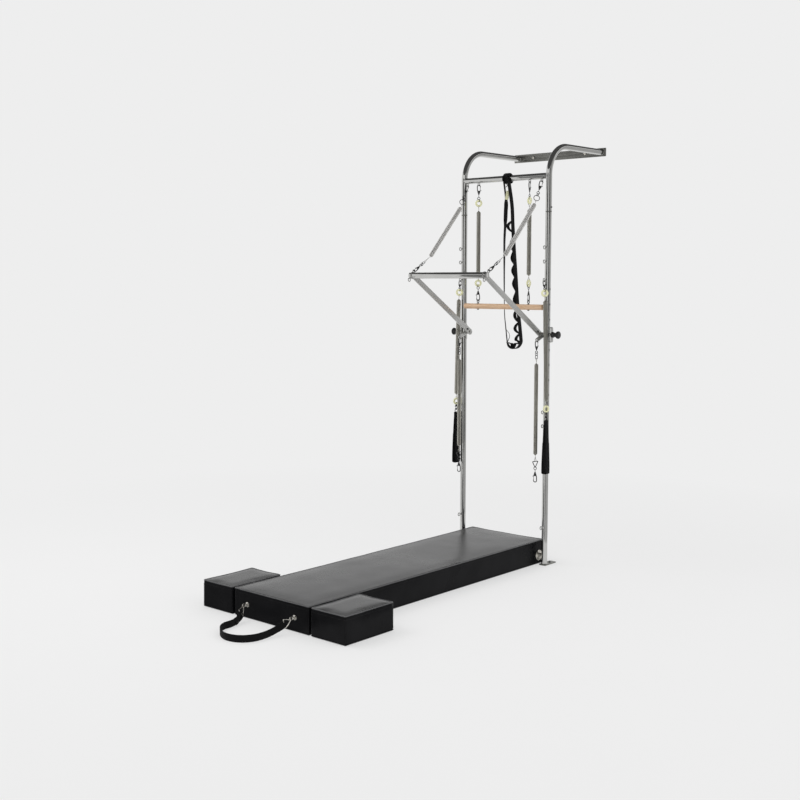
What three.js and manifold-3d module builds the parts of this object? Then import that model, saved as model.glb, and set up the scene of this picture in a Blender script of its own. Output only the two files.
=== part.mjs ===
// A wall tower for mat exercises: a bent tube frame that stands through the end of a raised,
// upholstered mat, with a push-through bar, a roll-down bar, springs, straps and two side boxes.
// Millimetres, +X to the right, +Y towards the wall, +Z up, origin under the centre of the mat.

import * as THREE from 'three';
import { mergeVertices } from 'three/addons/utils/BufferGeometryUtils.js';
import Module from 'manifold-3d';

const wasm = await Module();
wasm.setup();

// Mat and side boxes
const MAT_WIDTH = 530;
const MAT_LENGTH = 1930;
const MAT_HEIGHT = 140;
const BOX_WIDTH = 220;
const BOX_LENGTH = 327;
const BOX_GAP = 18;
const PAD_EDGE = 11;
const PAD_CROWN = 4;
const PAD_TUCK = 2;
const PAD_EDGE_SHARES = [0, 0.3, 1];
const PAD_SIDE_POWER = 8;
const MAT_GRID = [6, 10, 6];
const BOX_GRID = [6, 6, 6];
const BOARD_THICKNESS = 12;
const BOARD_INSET = 22;

// Frame tubes
const UPRIGHT_SPACING = 610;
const TUBE_D = 35;
const TUBE_WALL = 2;
const MAT_END_TO_UPRIGHTS = 48;
const TOP_RUN_Z = 2428;
const BEND_RADIUS = 170;
const CROSSBAR_DROP = 174;
const SEAM_DROP = 205;
const SPIGOT_LENGTH = 60;
const WALL_REACH = 556;

// Wall plate
const PLATE_OVERHANG = 30;
const PLATE_HEIGHT = 50;
const PLATE_THICKNESS = 8;
const PLATE_HOLE_D = 9;
const PLATE_HOLE_X = 190;

// Foot tube, its collars on the mat and the foot plates
const FOOT_TUBE_D = 30;
const FOOT_TUBE_Z = 52;
const COLLAR_D = 62;
const COLLAR_THICKNESS = 4;
const FOOT_PLATE_WIDTH = 46;
const FOOT_PLATE_LENGTH = 116;
const FOOT_PLATE_THICKNESS = 6;
const FOOT_PLATE_FRONT = 24;
const FOOT_HOLE_D = 8;

// Eyes that the springs hang from
const EYE_R = 9;
const EYE_WIRE = 5;
const EYE_SHANK_D = 7;
const UPRIGHT_EYE_REACH = 38;
const CROSSBAR_EYE_REACH = 30;
const CROSSBAR_EYE_TILT = 35;
const OUTER_EYE_INSET = 37;
const INNER_EYE_INSET = 121;
const MAT_EYE_X = 169;
const MAT_EYE_Z = 70;
const MAT_EYE_REACH = 22;
const MAT_EYE_DEPTH = 24;
const WASHER_D = 26;
const WASHER_THICKNESS = 3;

// Heights of the eyes on each upright, top to bottom, as shares of the seam's height
const EYE_HEIGHT_SHARES = [0.9024, 0.8633, 0.8121, 0.4412, 0.4021, 0.1098];
const LEG_EYE_INDEX = 2;

// Snap hooks and rings
const HOOK_WIRE = 4;
const BOW_R = 9;
const END_RING_R = 10;
const SHANK_D = 7;

// Extension springs
const COIL_D = 26;
const SPRING_WIRE = 3;
const COIL_CURLS = 7;
const CURL_STEPS = 8;
const WIRE_SIDES = 5;
const LEAD_SHARE = 0.5;

// Adjustment holes and the carriages that pin into them
const HOLE_PITCH = 87;
const HOLE_COUNT = 8;
const TOP_HOLE_Z = 1612;
const PIVOT_HOLE_INDEX = 3;
const SLEEVE_HEIGHT = 88;
const SLEEVE_WALL = 2.5;
const SLEEVE_PLAY = 0.5;
const LUG_X_INSET = 23;
const LUG_THICKNESS = 5;
const LUG_REACH = 71;
const LUG_DROP = 30;
const LUG_RIM = 5;
const BOSS_D = 26;
const PIVOT_PIN_D = 11.4;
const PIN_HEAD_D = 20;
const PIN_HEAD_LENGTH = 4;
const STRAP_BAR_OUT = 15;
const STRAP_BAR_WIDTH = 20;
const STRAP_BAR_THICKNESS = 3;

// Pull knob
const PLUNGER_D = 9.4;
const HOUSING_D = 20;
const KNOB_LENGTH = 48;
const KNOB_D = 44;

// The outline of the knob, in shares of its radius and of its length
const KNOB_SHARES = [
  [0.78, 0],
  [0.78, 0.16],
  [0.56, 0.36],
  [0.6, 0.52],
  [0.96, 0.72],
  [1, 0.84],
  [0.86, 0.97],
];

// Push-through bar
const ARM_LENGTH = 631;
const ARM_LIFT = 32.5;
const ARM_WIDTH = 35;
const ARM_THICKNESS = 6;
const ARM_INSET = 48;
const PUSH_BAR_D = 35;
const PUSH_BAR_INSET = 28;
const PUSH_VENT_D = 5;
const BAR_EYE_REACH = 31;
const BAR_EYE_ANGLE = 47;
const LOWER_EYE_ANGLE = 233;
const BOLT_HOLE_D = 7;
const BOLT_HOLE_FROM_PIVOT = 34;

// Springs of the push-through bar, hung slack below the straight line from eye to eye
const PUSH_COIL_START_SHARE = 0.2;
const PUSH_COIL_END_SHARE = 0.775;
const PUSH_SAG = 46;

// Roll-down bar and its springs
const ROLL_BAR_D = 32;
const ROLL_BAR_CLEARANCE = 3.5;
const ROLL_HOOK_TOP = 156;
const ROLL_COIL_LENGTH = 386;
const ROLL_HOOK_BOTTOM = 149;
const ROLL_EYE_REACH = 30;
const ROLL_NUT_D = 11;
const ROLL_NUT_HEIGHT = 5;

// Leg springs with their handles
const LEG_SIDE_STEP = 20;
const LEG_HOOK_TOP = 114;
const LEG_COIL_LENGTH = 583;
const LEG_HOOK_BOTTOM = 92;
const HANDLE_RING_R = 11;
const WEB_WIDTH = 34;
const WEB_THICKNESS = 3;
const HANDLE_LENGTH = 310;
const HANDLE_SPREAD = 30;

// Short springs below the carriages
const SHORT_COIL_D = 24;
const SHORT_HOOK_TOP = 132;
const SHORT_COIL_LENGTH = 535;
const SHORT_HOOK_BOTTOM = 160;

// Loop strap over the crossbar
const LOOP_STRAP_LENGTH = 990;
const LOOP_STRAP_WIDTH = 26;
const LOOP_STRAP_LEFT_X = -12;
const LOOP_STRAP_TOP_SPREAD = 40;
const LOOP_STRAP_BOTTOM_SPREAD = 102;
const LOOP_STRAP_DRIFT = 67;
const LOOP_WRAP_MARGIN = 19;
const LOOP_STRAP_BACK = 20;
const LOOP_STRAP_BACK_SHARE = 0.6;

// Foot strap on the floor in front of the mat
const FOOT_HOOK_LENGTH = 62;
const FOOT_HOOK_LEAN = 38;
const FOOT_STRAP_FORWARD = 255;
const FOOT_STRAP_SPREAD = 250;
const FOOT_STRAP_WIDTH = 36;

// Clearance between pieces that touch, and how far a cutter runs past what it cuts
const FIT = 0.3;
const OVERRUN = 4;
const ROUND_SIDES = 14;
const SMALL_SIDES = 6;
const CURVE_SEGMENTS = 5;
const BEND_STEPS = 6;
const STRAP_STEPS = 4;
const RING_STEPS = 8;
const RING_SIDES = 4;
const MERGE_SHARE = 1e-5;

// Places worked out from the sizes
const UPRIGHT_X = UPRIGHT_SPACING / 2;
const TUBE_R = TUBE_D / 2;
const OUTER_EYE_X = UPRIGHT_X - OUTER_EYE_INSET;
const INNER_EYE_X = UPRIGHT_X - INNER_EYE_INSET;
const ARM_X = UPRIGHT_X - ARM_INSET;
const PUSH_BAR_HALF = UPRIGHT_X - PUSH_BAR_INSET;
const BORE_R = TUBE_R - TUBE_WALL;
const PLANE_Y = MAT_LENGTH / 2 - MAT_END_TO_UPRIGHTS;
const WALL_Y = PLANE_Y + WALL_REACH;
const CROSSBAR_Z = TOP_RUN_Z - CROSSBAR_DROP;
const SEAM_Z = CROSSBAR_Z - SEAM_DROP;
const SPIGOT_R = BORE_R * Math.cos(Math.PI / ROUND_SIDES) - FIT;
const HOLE_D = PLUNGER_D + 2 * FIT;
const PIVOT_Z = TOP_HOLE_Z - PIVOT_HOLE_INDEX * HOLE_PITCH;
const FOOT_TOP_Z = FOOT_PLATE_THICKNESS + FIT;
const EYE_HOLE_R = EYE_R - EYE_WIRE / 2;
const BOW_HOLE_R = BOW_R - HOOK_WIRE / 2;
const BOW_DROP = linkDrop(BOW_HOLE_R, EYE_HOLE_R);
const HANDLE_RING_DROP = linkDrop(BOW_HOLE_R, HANDLE_RING_R - HOOK_WIRE / 2) - BOW_R;
const LUG_X = UPRIGHT_X - LUG_X_INSET;
const ARM_OUTER_X = ARM_X + ARM_THICKNESS / 2;
const SLEEVE_BORE_R = TUBE_R + SLEEVE_PLAY;
const SLEEVE_R = SLEEVE_BORE_R + SLEEVE_WALL;
const HOUSING_END = UPRIGHT_X + TUBE_R + STRAP_BAR_OUT + STRAP_BAR_THICKNESS + FIT;
const SHORT_EYE_Y = PLANE_Y - LUG_REACH;
const SHORT_EYE_Z = PIVOT_Z - LUG_DROP;
const LIFT = THREE.MathUtils.degToRad(ARM_LIFT);
const BAR_Y = PLANE_Y - ARM_LENGTH * Math.cos(LIFT);
const BAR_Z = PIVOT_Z + ARM_LENGTH * Math.sin(LIFT);
const CROSSBAR_EYE_LEAN = THREE.MathUtils.degToRad(CROSSBAR_EYE_TILT);
const CROSSBAR_EYE_Y = PLANE_Y - CROSSBAR_EYE_REACH * Math.sin(CROSSBAR_EYE_LEAN);
const CROSSBAR_EYE_Z = CROSSBAR_Z - CROSSBAR_EYE_REACH * Math.cos(CROSSBAR_EYE_LEAN);

const COLOURS = {
  steel: { color: 0x8f9190, metalness: 1, roughness: 0.32 },
  brushed: { color: 0xb4b6b3, metalness: 1, roughness: 0.45 },
  spring: { color: 0x777873, metalness: 1, roughness: 0.4 },
  vinyl: { color: 0x232427, metalness: 0, roughness: 0.5 },
  plywood: { color: 0xb59262, metalness: 0, roughness: 0.8 },
  webbing: { color: 0x141414, metalness: 0, roughness: 0.85 },
  beech: { color: 0xd0a67c, metalness: 0, roughness: 0.55 },
  plastic: { color: 0x121212, metalness: 0, roughness: 0.35 },
};

const tower = new THREE.Group();

// The distance between the centres of two linked rings, from the radii of their holes. The bow
// touches at a corner, and turns past the other ring's flat sides, which lie nearer to its centre.
function linkDrop(bowHole, otherHole) {
  return bowHole + otherHole * Math.cos(Math.PI / RING_STEPS) - FIT;
}

// Turns a closed geometry into a solid that can be joined and cut.
function solidOf(geometry) {
  const bare = geometry.clone();
  bare.deleteAttribute('normal');
  bare.deleteAttribute('uv');
  bare.computeBoundingSphere();
  const merged = mergeVertices(bare, bare.boundingSphere.radius * MERGE_SHARE);
  const vertProperties = new Float32Array(merged.attributes.position.array);
  const triVerts = new Uint32Array(merged.index.array);
  return new wasm.Manifold(new wasm.Mesh({ numProp: 3, vertProperties, triVerts }));
}

// Turns a solid back into a geometry.
function geometryOf(solid) {
  const mesh = solid.getMesh();
  const geometry = new THREE.BufferGeometry();
  geometry.setAttribute('position', new THREE.BufferAttribute(mesh.vertProperties, 3));
  geometry.setIndex(new THREE.BufferAttribute(mesh.triVerts, 1));
  return geometry;
}

// Joins geometries into one body.
function join(...geometries) {
  return geometryOf(geometries.map(solidOf).reduce((whole, next) => whole.add(next)));
}

// Cuts the later geometries out of the first.
function cut(geometry, ...cutters) {
  return geometryOf(cutters.map(solidOf).reduce((rest, next) => rest.subtract(next), solidOf(geometry)));
}

// Adds one named piece to the tower.
function addPiece(name, geometry, colour, position = [0, 0, 0], tilt = 0) {
  const mesh = new THREE.Mesh(geometry, new THREE.MeshStandardMaterial(COLOURS[colour]));
  mesh.name = name;
  mesh.position.set(...position);
  mesh.rotation.x = tilt;
  tower.add(mesh);
  return mesh;
}

// A round rod from one point to another.
function rod(from, to, diameter, sides = ROUND_SIDES) {
  const start = new THREE.Vector3(...from);
  const way = new THREE.Vector3(...to).sub(start);
  const geometry = new THREE.CylinderGeometry(diameter / 2, diameter / 2, way.length(), sides);
  const up = new THREE.Vector3(0, 1, 0);
  const turn = new THREE.Quaternion().setFromUnitVectors(up, way.clone().normalize());
  geometry.applyQuaternion(turn);
  return geometry.translate(...start.addScaledVector(way, 1 / 2).toArray());
}

// A cutter for a round hole whose flat sides all lie outside the given diameter.
function bore(from, to, diameter, sides = ROUND_SIDES) {
  return rod(from, to, diameter / Math.cos(Math.PI / sides), sides);
}

// A round wire ring. Its hole runs along Z, or along another axis after turning.
function ring(radius, wire, axis, centre) {
  const geometry = new THREE.TorusGeometry(radius, wire / 2, RING_SIDES, RING_STEPS);
  if (axis === 'x') geometry.rotateY(Math.PI / 2);
  if (axis === 'y') geometry.rotateX(Math.PI / 2);
  return geometry.translate(...centre);
}

// A box given by its lowest and highest corners.
function block(low, high) {
  const size = high.map((value, i) => value - low[i]);
  const middle = high.map((value, i) => (value + low[i]) / 2);
  return new THREE.BoxGeometry(...size).translate(...middle);
}

// A path whose rings stand exactly at the given points.
class Stations extends THREE.Curve {
  constructor(points) {
    super();
    this.points = points;
  }

  getPoint(t, target = new THREE.Vector3()) {
    const last = this.points.length - 1;
    const place = Math.min(Math.max(t, 0), 1) * last;
    const i = Math.min(Math.floor(place), last - 1);
    return target.copy(this.points[i]).lerp(this.points[i + 1], place - i);
  }

  getPointAt(u, target) {
    return this.getPoint(u, target);
  }

  getTangentAt(u, target) {
    return this.getTangent(u, target);
  }
}

// Extrudes a section along points given as [x, y, z].
function sweep(points, section) {
  const stations = new Stations(points.map((point) => new THREE.Vector3(...point)));
  const options = { steps: points.length - 1, extrudePath: stations, bevelEnabled: false };
  return new THREE.ExtrudeGeometry(section, options);
}

// A round section for sweeping.
function roundSection(radius, sides = ROUND_SIDES) {
  const shape = new THREE.Shape();
  for (let i = 0; i < sides; i += 1) {
    const angle = (i / sides) * 2 * Math.PI;
    if (i === 0) shape.moveTo(radius, 0);
    else shape.lineTo(radius * Math.cos(angle), radius * Math.sin(angle));
  }
  shape.closePath();
  return shape;
}

// An eye on a shank: the shank starts in a tube's wall and the ring stands in the YZ plane.
function eye(reach, start, direction, centre) {
  const shank = rod([0, 0, -start], [0, 0, -(reach - EYE_R)], EYE_SHANK_D, SMALL_SIDES);
  const loop = ring(EYE_R, EYE_WIRE, 'x', [0, 0, -reach]);
  const whole = join(shank, loop);
  return whole.rotateX(direction).translate(...centre);
}

// The tilt about X that turns straight down into the given way in the YZ plane.
function tiltOf(dy, dz) {
  return Math.atan2(dy, -dz);
}

// A snap hook with its end ring, hung from an eye's centre at the origin and running down.
function hook(length, sideStep = 0) {
  const bow = ring(BOW_R, HOOK_WIRE, 'y', [0, 0, -BOW_DROP]);
  const endZ = -(length - END_RING_R - HOOK_WIRE / 2);
  const end = ring(END_RING_R, HOOK_WIRE, 'x', [sideStep, 0, endZ]);
  const top = [0, 0, -(BOW_DROP + BOW_R)];
  const shank = rod(top, [sideStep, 0, endZ + END_RING_R], SHANK_D, SMALL_SIDES);
  return join(bow, shank, end);
}

// The stations of a coiled wire: straight ends on the axis, leads out to the curls, and the curls.
function coilStations(length, coilDiameter) {
  const radius = (coilDiameter - SPRING_WIRE) / 2;
  const leadSteps = CURL_STEPS * LEAD_SHARE;
  const curlSteps = CURL_STEPS * COIL_CURLS;
  const steps = curlSteps + 2 * leadSteps;
  const span = length - 2 * SPRING_WIRE;
  const stations = [{ angle: 0, radius: 0, z: 0 }];
  for (let i = 0; i <= steps; i += 1) {
    const fromEnd = Math.min(i, steps - i) / leadSteps;
    const spread = Math.min(fromEnd, 1);
    const angle = (i / CURL_STEPS) * 2 * Math.PI;
    stations.push({ angle, radius: radius * spread, z: -SPRING_WIRE - (span * i) / steps });
  }
  stations.push({ angle: (steps / CURL_STEPS) * 2 * Math.PI, radius: 0, z: -length });
  return stations.map((station) => ({
    angle: station.angle,
    point: new THREE.Vector3(
      station.radius * Math.cos(station.angle),
      station.radius * Math.sin(station.angle),
      station.z,
    ),
  }));
}

// The least gap of a coiled wire to itself, measured between stations at least half a curl apart.
function leastGap(stations) {
  let least = Infinity;
  for (let i = 0; i < stations.length; i += 1) {
    for (let j = i + CURL_STEPS / 2 + 1; j < stations.length; j += 1) {
      least = Math.min(least, stations[i].point.distanceTo(stations[j].point));
    }
  }
  return least - SPRING_WIRE;
}

// One unbroken wire wound along -Z from the origin.
function coil(name, length, coilDiameter) {
  const stations = coilStations(length, coilDiameter);
  console.log(`${name}: least gap to itself ${leastGap(stations).toFixed(1)} mm`);
  const positions = [];
  const last = stations.length - 1;
  stations.forEach(({ point, angle }, i) => {
    const before = stations[Math.max(i - 1, 0)].point;
    const after = stations[Math.min(i + 1, last)].point;
    const tangent = after.clone().sub(before).normalize();
    const outward = new THREE.Vector3(Math.cos(angle), Math.sin(angle), 0);
    outward.addScaledVector(tangent, -outward.dot(tangent)).normalize();
    const across = new THREE.Vector3().crossVectors(tangent, outward);
    for (let k = 0; k < WIRE_SIDES; k += 1) {
      const turn = (k / WIRE_SIDES) * 2 * Math.PI;
      const corner = point.clone();
      corner.addScaledVector(outward, (SPRING_WIRE / 2) * Math.cos(turn));
      corner.addScaledVector(across, (SPRING_WIRE / 2) * Math.sin(turn));
      positions.push(corner.x, corner.y, corner.z);
    }
  });
  const indices = [];
  for (let i = 0; i < last; i += 1) {
    for (let k = 0; k < WIRE_SIDES; k += 1) {
      const a = i * WIRE_SIDES + k;
      const b = i * WIRE_SIDES + ((k + 1) % WIRE_SIDES);
      indices.push(a, b, a + WIRE_SIDES, b, b + WIRE_SIDES, a + WIRE_SIDES);
    }
  }
  for (let k = 1; k < WIRE_SIDES - 1; k += 1) {
    const end = last * WIRE_SIDES;
    indices.push(0, k + 1, k, end, end + k, end + k + 1);
  }
  const geometry = new THREE.BufferGeometry();
  geometry.setAttribute('position', new THREE.Float32BufferAttribute(positions, 3));
  geometry.setIndex(indices);
  return geometry;
}

// How far a pad's upright sides are drawn in at a place given in shares from -1 to 1.
function tuckAt(alongShare, heightShare) {
  return PAD_TUCK * (1 - alongShare * alongShare) * Math.sin(Math.PI * heightShare);
}

// Spreads a grid place over a length so that the first and last rows round the edges.
function spreadPlace(index, count, length) {
  const fromEnd = Math.min(index, count - index);
  const last = PAD_EDGE_SHARES.length - 1;
  const inner = (length / 2 - PAD_EDGE) / (count / 2 - last);
  const curved = fromEnd < last;
  const way = curved ? PAD_EDGE_SHARES[fromEnd] * PAD_EDGE : PAD_EDGE + (fromEnd - last) * inner;
  return index * 2 <= count ? way - length / 2 : length / 2 - way;
}

// An upholstered block: rounded edges, a crown on top and drawn-in sides. Its underside is flat.
function pad(width, length, height, counts) {
  const sizes = [width, length, height];
  const geometry = new THREE.BoxGeometry(...counts, ...counts);
  const place = geometry.attributes.position;
  for (let i = 0; i < place.count; i += 1) {
    const grid = [place.getX(i), place.getY(i), place.getZ(i)];
    const spread = grid.map((value, k) => {
      return spreadPlace(Math.round(value + counts[k] / 2), counts[k], sizes[k]);
    });
    const core = spread.map((value, k) => {
      const limit = sizes[k] / 2 - PAD_EDGE;
      return Math.min(Math.max(value, -limit), limit);
    });
    const away = new THREE.Vector3(...spread.map((value, k) => value - core[k]));
    if (away.length() > 0) away.setLength(PAD_EDGE);
    const [x, y, z] = core.map((value, k) => value + away.getComponent(k));
    const xShare = x / (width / 2);
    const yShare = y / (length / 2);
    const zShare = z / height + 1 / 2;
    const crown = PAD_CROWN * (1 - xShare ** 2) * (1 - yShare ** 2);
    const rise = crown * Math.max(0, 2 * zShare - 1);
    const tuckX = tuckAt(yShare, zShare) * xShare * Math.abs(xShare) ** PAD_SIDE_POWER;
    const tuckY = tuckAt(xShare, zShare) * yShare * Math.abs(yShare) ** PAD_SIDE_POWER;
    place.setXYZ(i, x - tuckX, y - tuckY, z + rise + height / 2);
  }
  return geometry;
}

// The recess for a base board in the underside of a pad.
function boardRecess(width, length) {
  const halfX = width / 2 - BOARD_INSET;
  const halfY = length / 2 - BOARD_INSET;
  return block([-halfX, -halfY, -OVERRUN], [halfX, halfY, BOARD_THICKNESS + FIT]);
}

// The base board that closes the recess.
function board(width, length) {
  const halfX = width / 2 - BOARD_INSET - FIT;
  const halfY = length / 2 - BOARD_INSET - FIT;
  return block([-halfX, -halfY, 0], [halfX, halfY, BOARD_THICKNESS]);
}

// The mat with its bore for the foot tube and its pilot holes for the eye bolts.
function addMat() {
  const tubeWay = bore(
    [-(MAT_WIDTH / 2 + OVERRUN), PLANE_Y, FOOT_TUBE_Z],
    [MAT_WIDTH / 2 + OVERRUN, PLANE_Y, FOOT_TUBE_Z],
    FOOT_TUBE_D + 2 * FIT,
  );
  const pilots = [-1, 1].map((side) => bore(
    [side * MAT_EYE_X, -(MAT_LENGTH / 2 + OVERRUN), MAT_EYE_Z],
    [side * MAT_EYE_X, -(MAT_LENGTH / 2 - MAT_EYE_DEPTH), MAT_EYE_Z],
    EYE_SHANK_D + 2 * FIT,
    SMALL_SIDES,
  ));
  const body = pad(MAT_WIDTH, MAT_LENGTH, MAT_HEIGHT, MAT_GRID);
  addPiece('mat_cushion', cut(body, boardRecess(MAT_WIDTH, MAT_LENGTH), tubeWay, ...pilots), 'vinyl');
  addPiece('mat_base_board', board(MAT_WIDTH, MAT_LENGTH), 'plywood');
}

// The two loose boxes beside the near end of the mat.
function addBoxes() {
  const x = MAT_WIDTH / 2 + BOX_GAP + BOX_WIDTH / 2;
  const y = -(MAT_LENGTH - BOX_LENGTH) / 2;
  for (const [name, side] of [['left', -1], ['right', 1]]) {
    const body = pad(BOX_WIDTH, BOX_LENGTH, MAT_HEIGHT, BOX_GRID);
    const place = [side * x, y, 0];
    addPiece(`${name}_box_cushion`, cut(body, boardRecess(BOX_WIDTH, BOX_LENGTH)), 'vinyl', place);
    addPiece(`${name}_box_base_board`, board(BOX_WIDTH, BOX_LENGTH), 'plywood', place);
  }
}

// The eye bolts in the near end of the mat, each with a washer against the cover.
function addMatEyebolts() {
  const face = -MAT_LENGTH / 2;
  const eyeY = -(MAT_LENGTH / 2 + MAT_EYE_REACH);
  for (const [name, side] of [['left', -1], ['right', 1]]) {
    const x = side * MAT_EYE_X;
    const inner = [x, -(MAT_LENGTH / 2 - MAT_EYE_DEPTH) - FIT, MAT_EYE_Z];
    const shank = rod(inner, [x, eyeY + EYE_R, MAT_EYE_Z], EYE_SHANK_D, SMALL_SIDES);
    const washerEnd = face - FIT - WASHER_THICKNESS;
    const washer = rod([x, face - FIT, MAT_EYE_Z], [x, washerEnd, MAT_EYE_Z], WASHER_D);
    const loop = ring(EYE_R, EYE_WIRE, 'x', [x, eyeY, MAT_EYE_Z]);
    addPiece(`${name}_mat_eyebolt`, join(shank, washer, loop), 'steel');
  }
}

// The centre height of the eye at the given place on an upright.
function eyeHeight(place) {
  return EYE_HEIGHT_SHARES[place] * SEAM_Z;
}

// One upright: a tube with a spigot on top, six eyes in front and a row of holes outside.
function addUpright(name, side) {
  const x = side * UPRIGHT_X;
  const tube = rod([x, PLANE_Y, FOOT_TOP_Z], [x, PLANE_Y, SEAM_Z], TUBE_D);
  const spigotTop = SEAM_Z + SPIGOT_LENGTH;
  const spigot = rod([x, PLANE_Y, SEAM_Z - SPIGOT_LENGTH], [x, PLANE_Y, spigotTop], 2 * SPIGOT_R);
  const narrow = rod(
    [x, PLANE_Y, -OVERRUN],
    [x, PLANE_Y, spigotTop + OVERRUN],
    2 * (SPIGOT_R - TUBE_WALL),
  );
  const wide = rod([x, PLANE_Y, -OVERRUN], [x, PLANE_Y, SEAM_Z - 2 * SPIGOT_LENGTH], 2 * BORE_R);
  const eyes = EYE_HEIGHT_SHARES.map((share, place) => {
    const start = TUBE_R - TUBE_WALL / 2;
    return eye(UPRIGHT_EYE_REACH, start, tiltOf(-1, 0), [x, PLANE_Y, eyeHeight(place)]);
  });
  const holes = Array.from({ length: HOLE_COUNT }, (_, i) => {
    const z = TOP_HOLE_Z - i * HOLE_PITCH;
    const outside = side * (UPRIGHT_X + TUBE_R + OVERRUN);
    return bore([x, PLANE_Y, z], [outside, PLANE_Y, z], HOLE_D, SMALL_SIDES);
  });
  const solid = join(tube, spigot, ...eyes);
  addPiece(`${name}_upright`, cut(solid, wide, narrow, ...holes), 'steel');
}

// The centre line of a top bend, from a start height to the wall plate.
function bendRoute(x, startZ, endY) {
  const route = [[x, PLANE_Y, startZ]];
  for (let i = 0; i <= BEND_STEPS; i += 1) {
    const angle = (i / BEND_STEPS) * (Math.PI / 2);
    const y = PLANE_Y + BEND_RADIUS * (1 - Math.cos(angle));
    const z = TOP_RUN_Z - BEND_RADIUS * (1 - Math.sin(angle));
    route.push([x, y, z]);
  }
  route.push([x, endY, TOP_RUN_Z]);
  return route;
}

// One top bend: it slips over the upright's spigot and runs back to the wall plate.
function addTopBend(name, side) {
  const x = side * UPRIGHT_X;
  const plateFace = WALL_Y - PLATE_THICKNESS - FIT;
  const outer = sweep(bendRoute(x, SEAM_Z + FIT, plateFace), roundSection(TUBE_R));
  const inner = sweep(bendRoute(x, SEAM_Z - OVERRUN, plateFace + OVERRUN), roundSection(BORE_R));
  addPiece(`${name}_top_bend`, cut(outer, inner), 'steel');
}

// The crossbar between the top bends, coped to them, with four eyes below.
function addCrossbar() {
  const bar = rod([-UPRIGHT_X, PLANE_Y, CROSSBAR_Z], [UPRIGHT_X, PLANE_Y, CROSSBAR_Z], TUBE_D);
  const hollow = rod(
    [-(UPRIGHT_X + OVERRUN), PLANE_Y, CROSSBAR_Z],
    [UPRIGHT_X + OVERRUN, PLANE_Y, CROSSBAR_Z],
    2 * BORE_R,
  );
  const bends = [-1, 1].map((side) => {
    return sweep(bendRoute(side * UPRIGHT_X, SEAM_Z, WALL_Y), roundSection(TUBE_R + FIT));
  });
  const eyes = [-OUTER_EYE_X, -INNER_EYE_X, INNER_EYE_X, OUTER_EYE_X].map((x) => {
    const start = TUBE_R - TUBE_WALL / 2;
    return eye(CROSSBAR_EYE_REACH, start, -CROSSBAR_EYE_LEAN, [x, PLANE_Y, CROSSBAR_Z]);
  });
  addPiece('crossbar', cut(join(bar, ...eyes), hollow, ...bends), 'steel');
}

// The plate that is screwed to the wall behind both top bends.
function addWallPlate() {
  const halfX = UPRIGHT_X + PLATE_OVERHANG;
  const low = [-halfX, WALL_Y - PLATE_THICKNESS, TOP_RUN_Z - PLATE_HEIGHT / 2];
  const high = [halfX, WALL_Y, TOP_RUN_Z + PLATE_HEIGHT / 2];
  const holes = [-1, 1].map((side) => rod(
    [side * PLATE_HOLE_X, WALL_Y - PLATE_THICKNESS - OVERRUN, TOP_RUN_Z],
    [side * PLATE_HOLE_X, WALL_Y + OVERRUN, TOP_RUN_Z],
    PLATE_HOLE_D,
  ));
  addPiece('wall_plate', cut(block(low, high), ...holes), 'brushed');
}

// The foot plates, the tube through the mat and its collars.
function addFeet() {
  const half = UPRIGHT_X;
  const tube = rod([-half, PLANE_Y, FOOT_TUBE_Z], [half, PLANE_Y, FOOT_TUBE_Z], FOOT_TUBE_D);
  const hollow = rod(
    [-(half + OVERRUN), PLANE_Y, FOOT_TUBE_Z],
    [half + OVERRUN, PLANE_Y, FOOT_TUBE_Z],
    FOOT_TUBE_D - 2 * TUBE_WALL,
  );
  const uprights = [-1, 1].map((side) => {
    const x = side * UPRIGHT_X;
    return bore([x, PLANE_Y, -OVERRUN], [x, PLANE_Y, SEAM_Z], TUBE_D + 2 * FIT);
  });
  addPiece('foot_tube', cut(tube, hollow, ...uprights), 'brushed');
  for (const [name, side] of [['left', -1], ['right', 1]]) {
    const x = side * UPRIGHT_X;
    const y = PLANE_Y - FOOT_PLATE_FRONT;
    const low = [x - FOOT_PLATE_WIDTH / 2, y, 0];
    const high = [x + FOOT_PLATE_WIDTH / 2, y + FOOT_PLATE_LENGTH, FOOT_PLATE_THICKNESS];
    const holeY = PLANE_Y + (FOOT_PLATE_LENGTH - FOOT_PLATE_FRONT + TUBE_R) / 2;
    const top = FOOT_PLATE_THICKNESS + OVERRUN;
    const hole = rod([x, holeY, -OVERRUN], [x, holeY, top], FOOT_HOLE_D, SMALL_SIDES);
    addPiece(`${name}_foot_plate`, cut(block(low, high), hole), 'brushed');
    addPiece(`${name}_mat_collar`, collar(side), 'brushed');
  }
}

// A collar with a rounded face, against the side of the mat and round the foot tube.
function collar(side) {
  const inner = FOOT_TUBE_D / 2 / Math.cos(Math.PI / ROUND_SIDES) + FIT;
  const outer = COLLAR_D / 2;
  const profile = [
    [inner, 0],
    [outer, 0],
    [outer, COLLAR_THICKNESS / 2],
    [outer - COLLAR_THICKNESS / 2, COLLAR_THICKNESS],
    [inner + COLLAR_THICKNESS, COLLAR_THICKNESS],
    [inner + COLLAR_THICKNESS, 2 * COLLAR_THICKNESS],
    [inner, 2 * COLLAR_THICKNESS],
    [inner, 0],
  ];
  const points = profile.map(([radius, height]) => new THREE.Vector2(radius, height));
  const face = MAT_WIDTH / 2 + FIT;
  const geometry = new THREE.LatheGeometry(points, ROUND_SIDES).rotateZ(-side * Math.PI / 2);
  return geometry.translate(side * face, PLANE_Y, FOOT_TUBE_Z);
}

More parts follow.
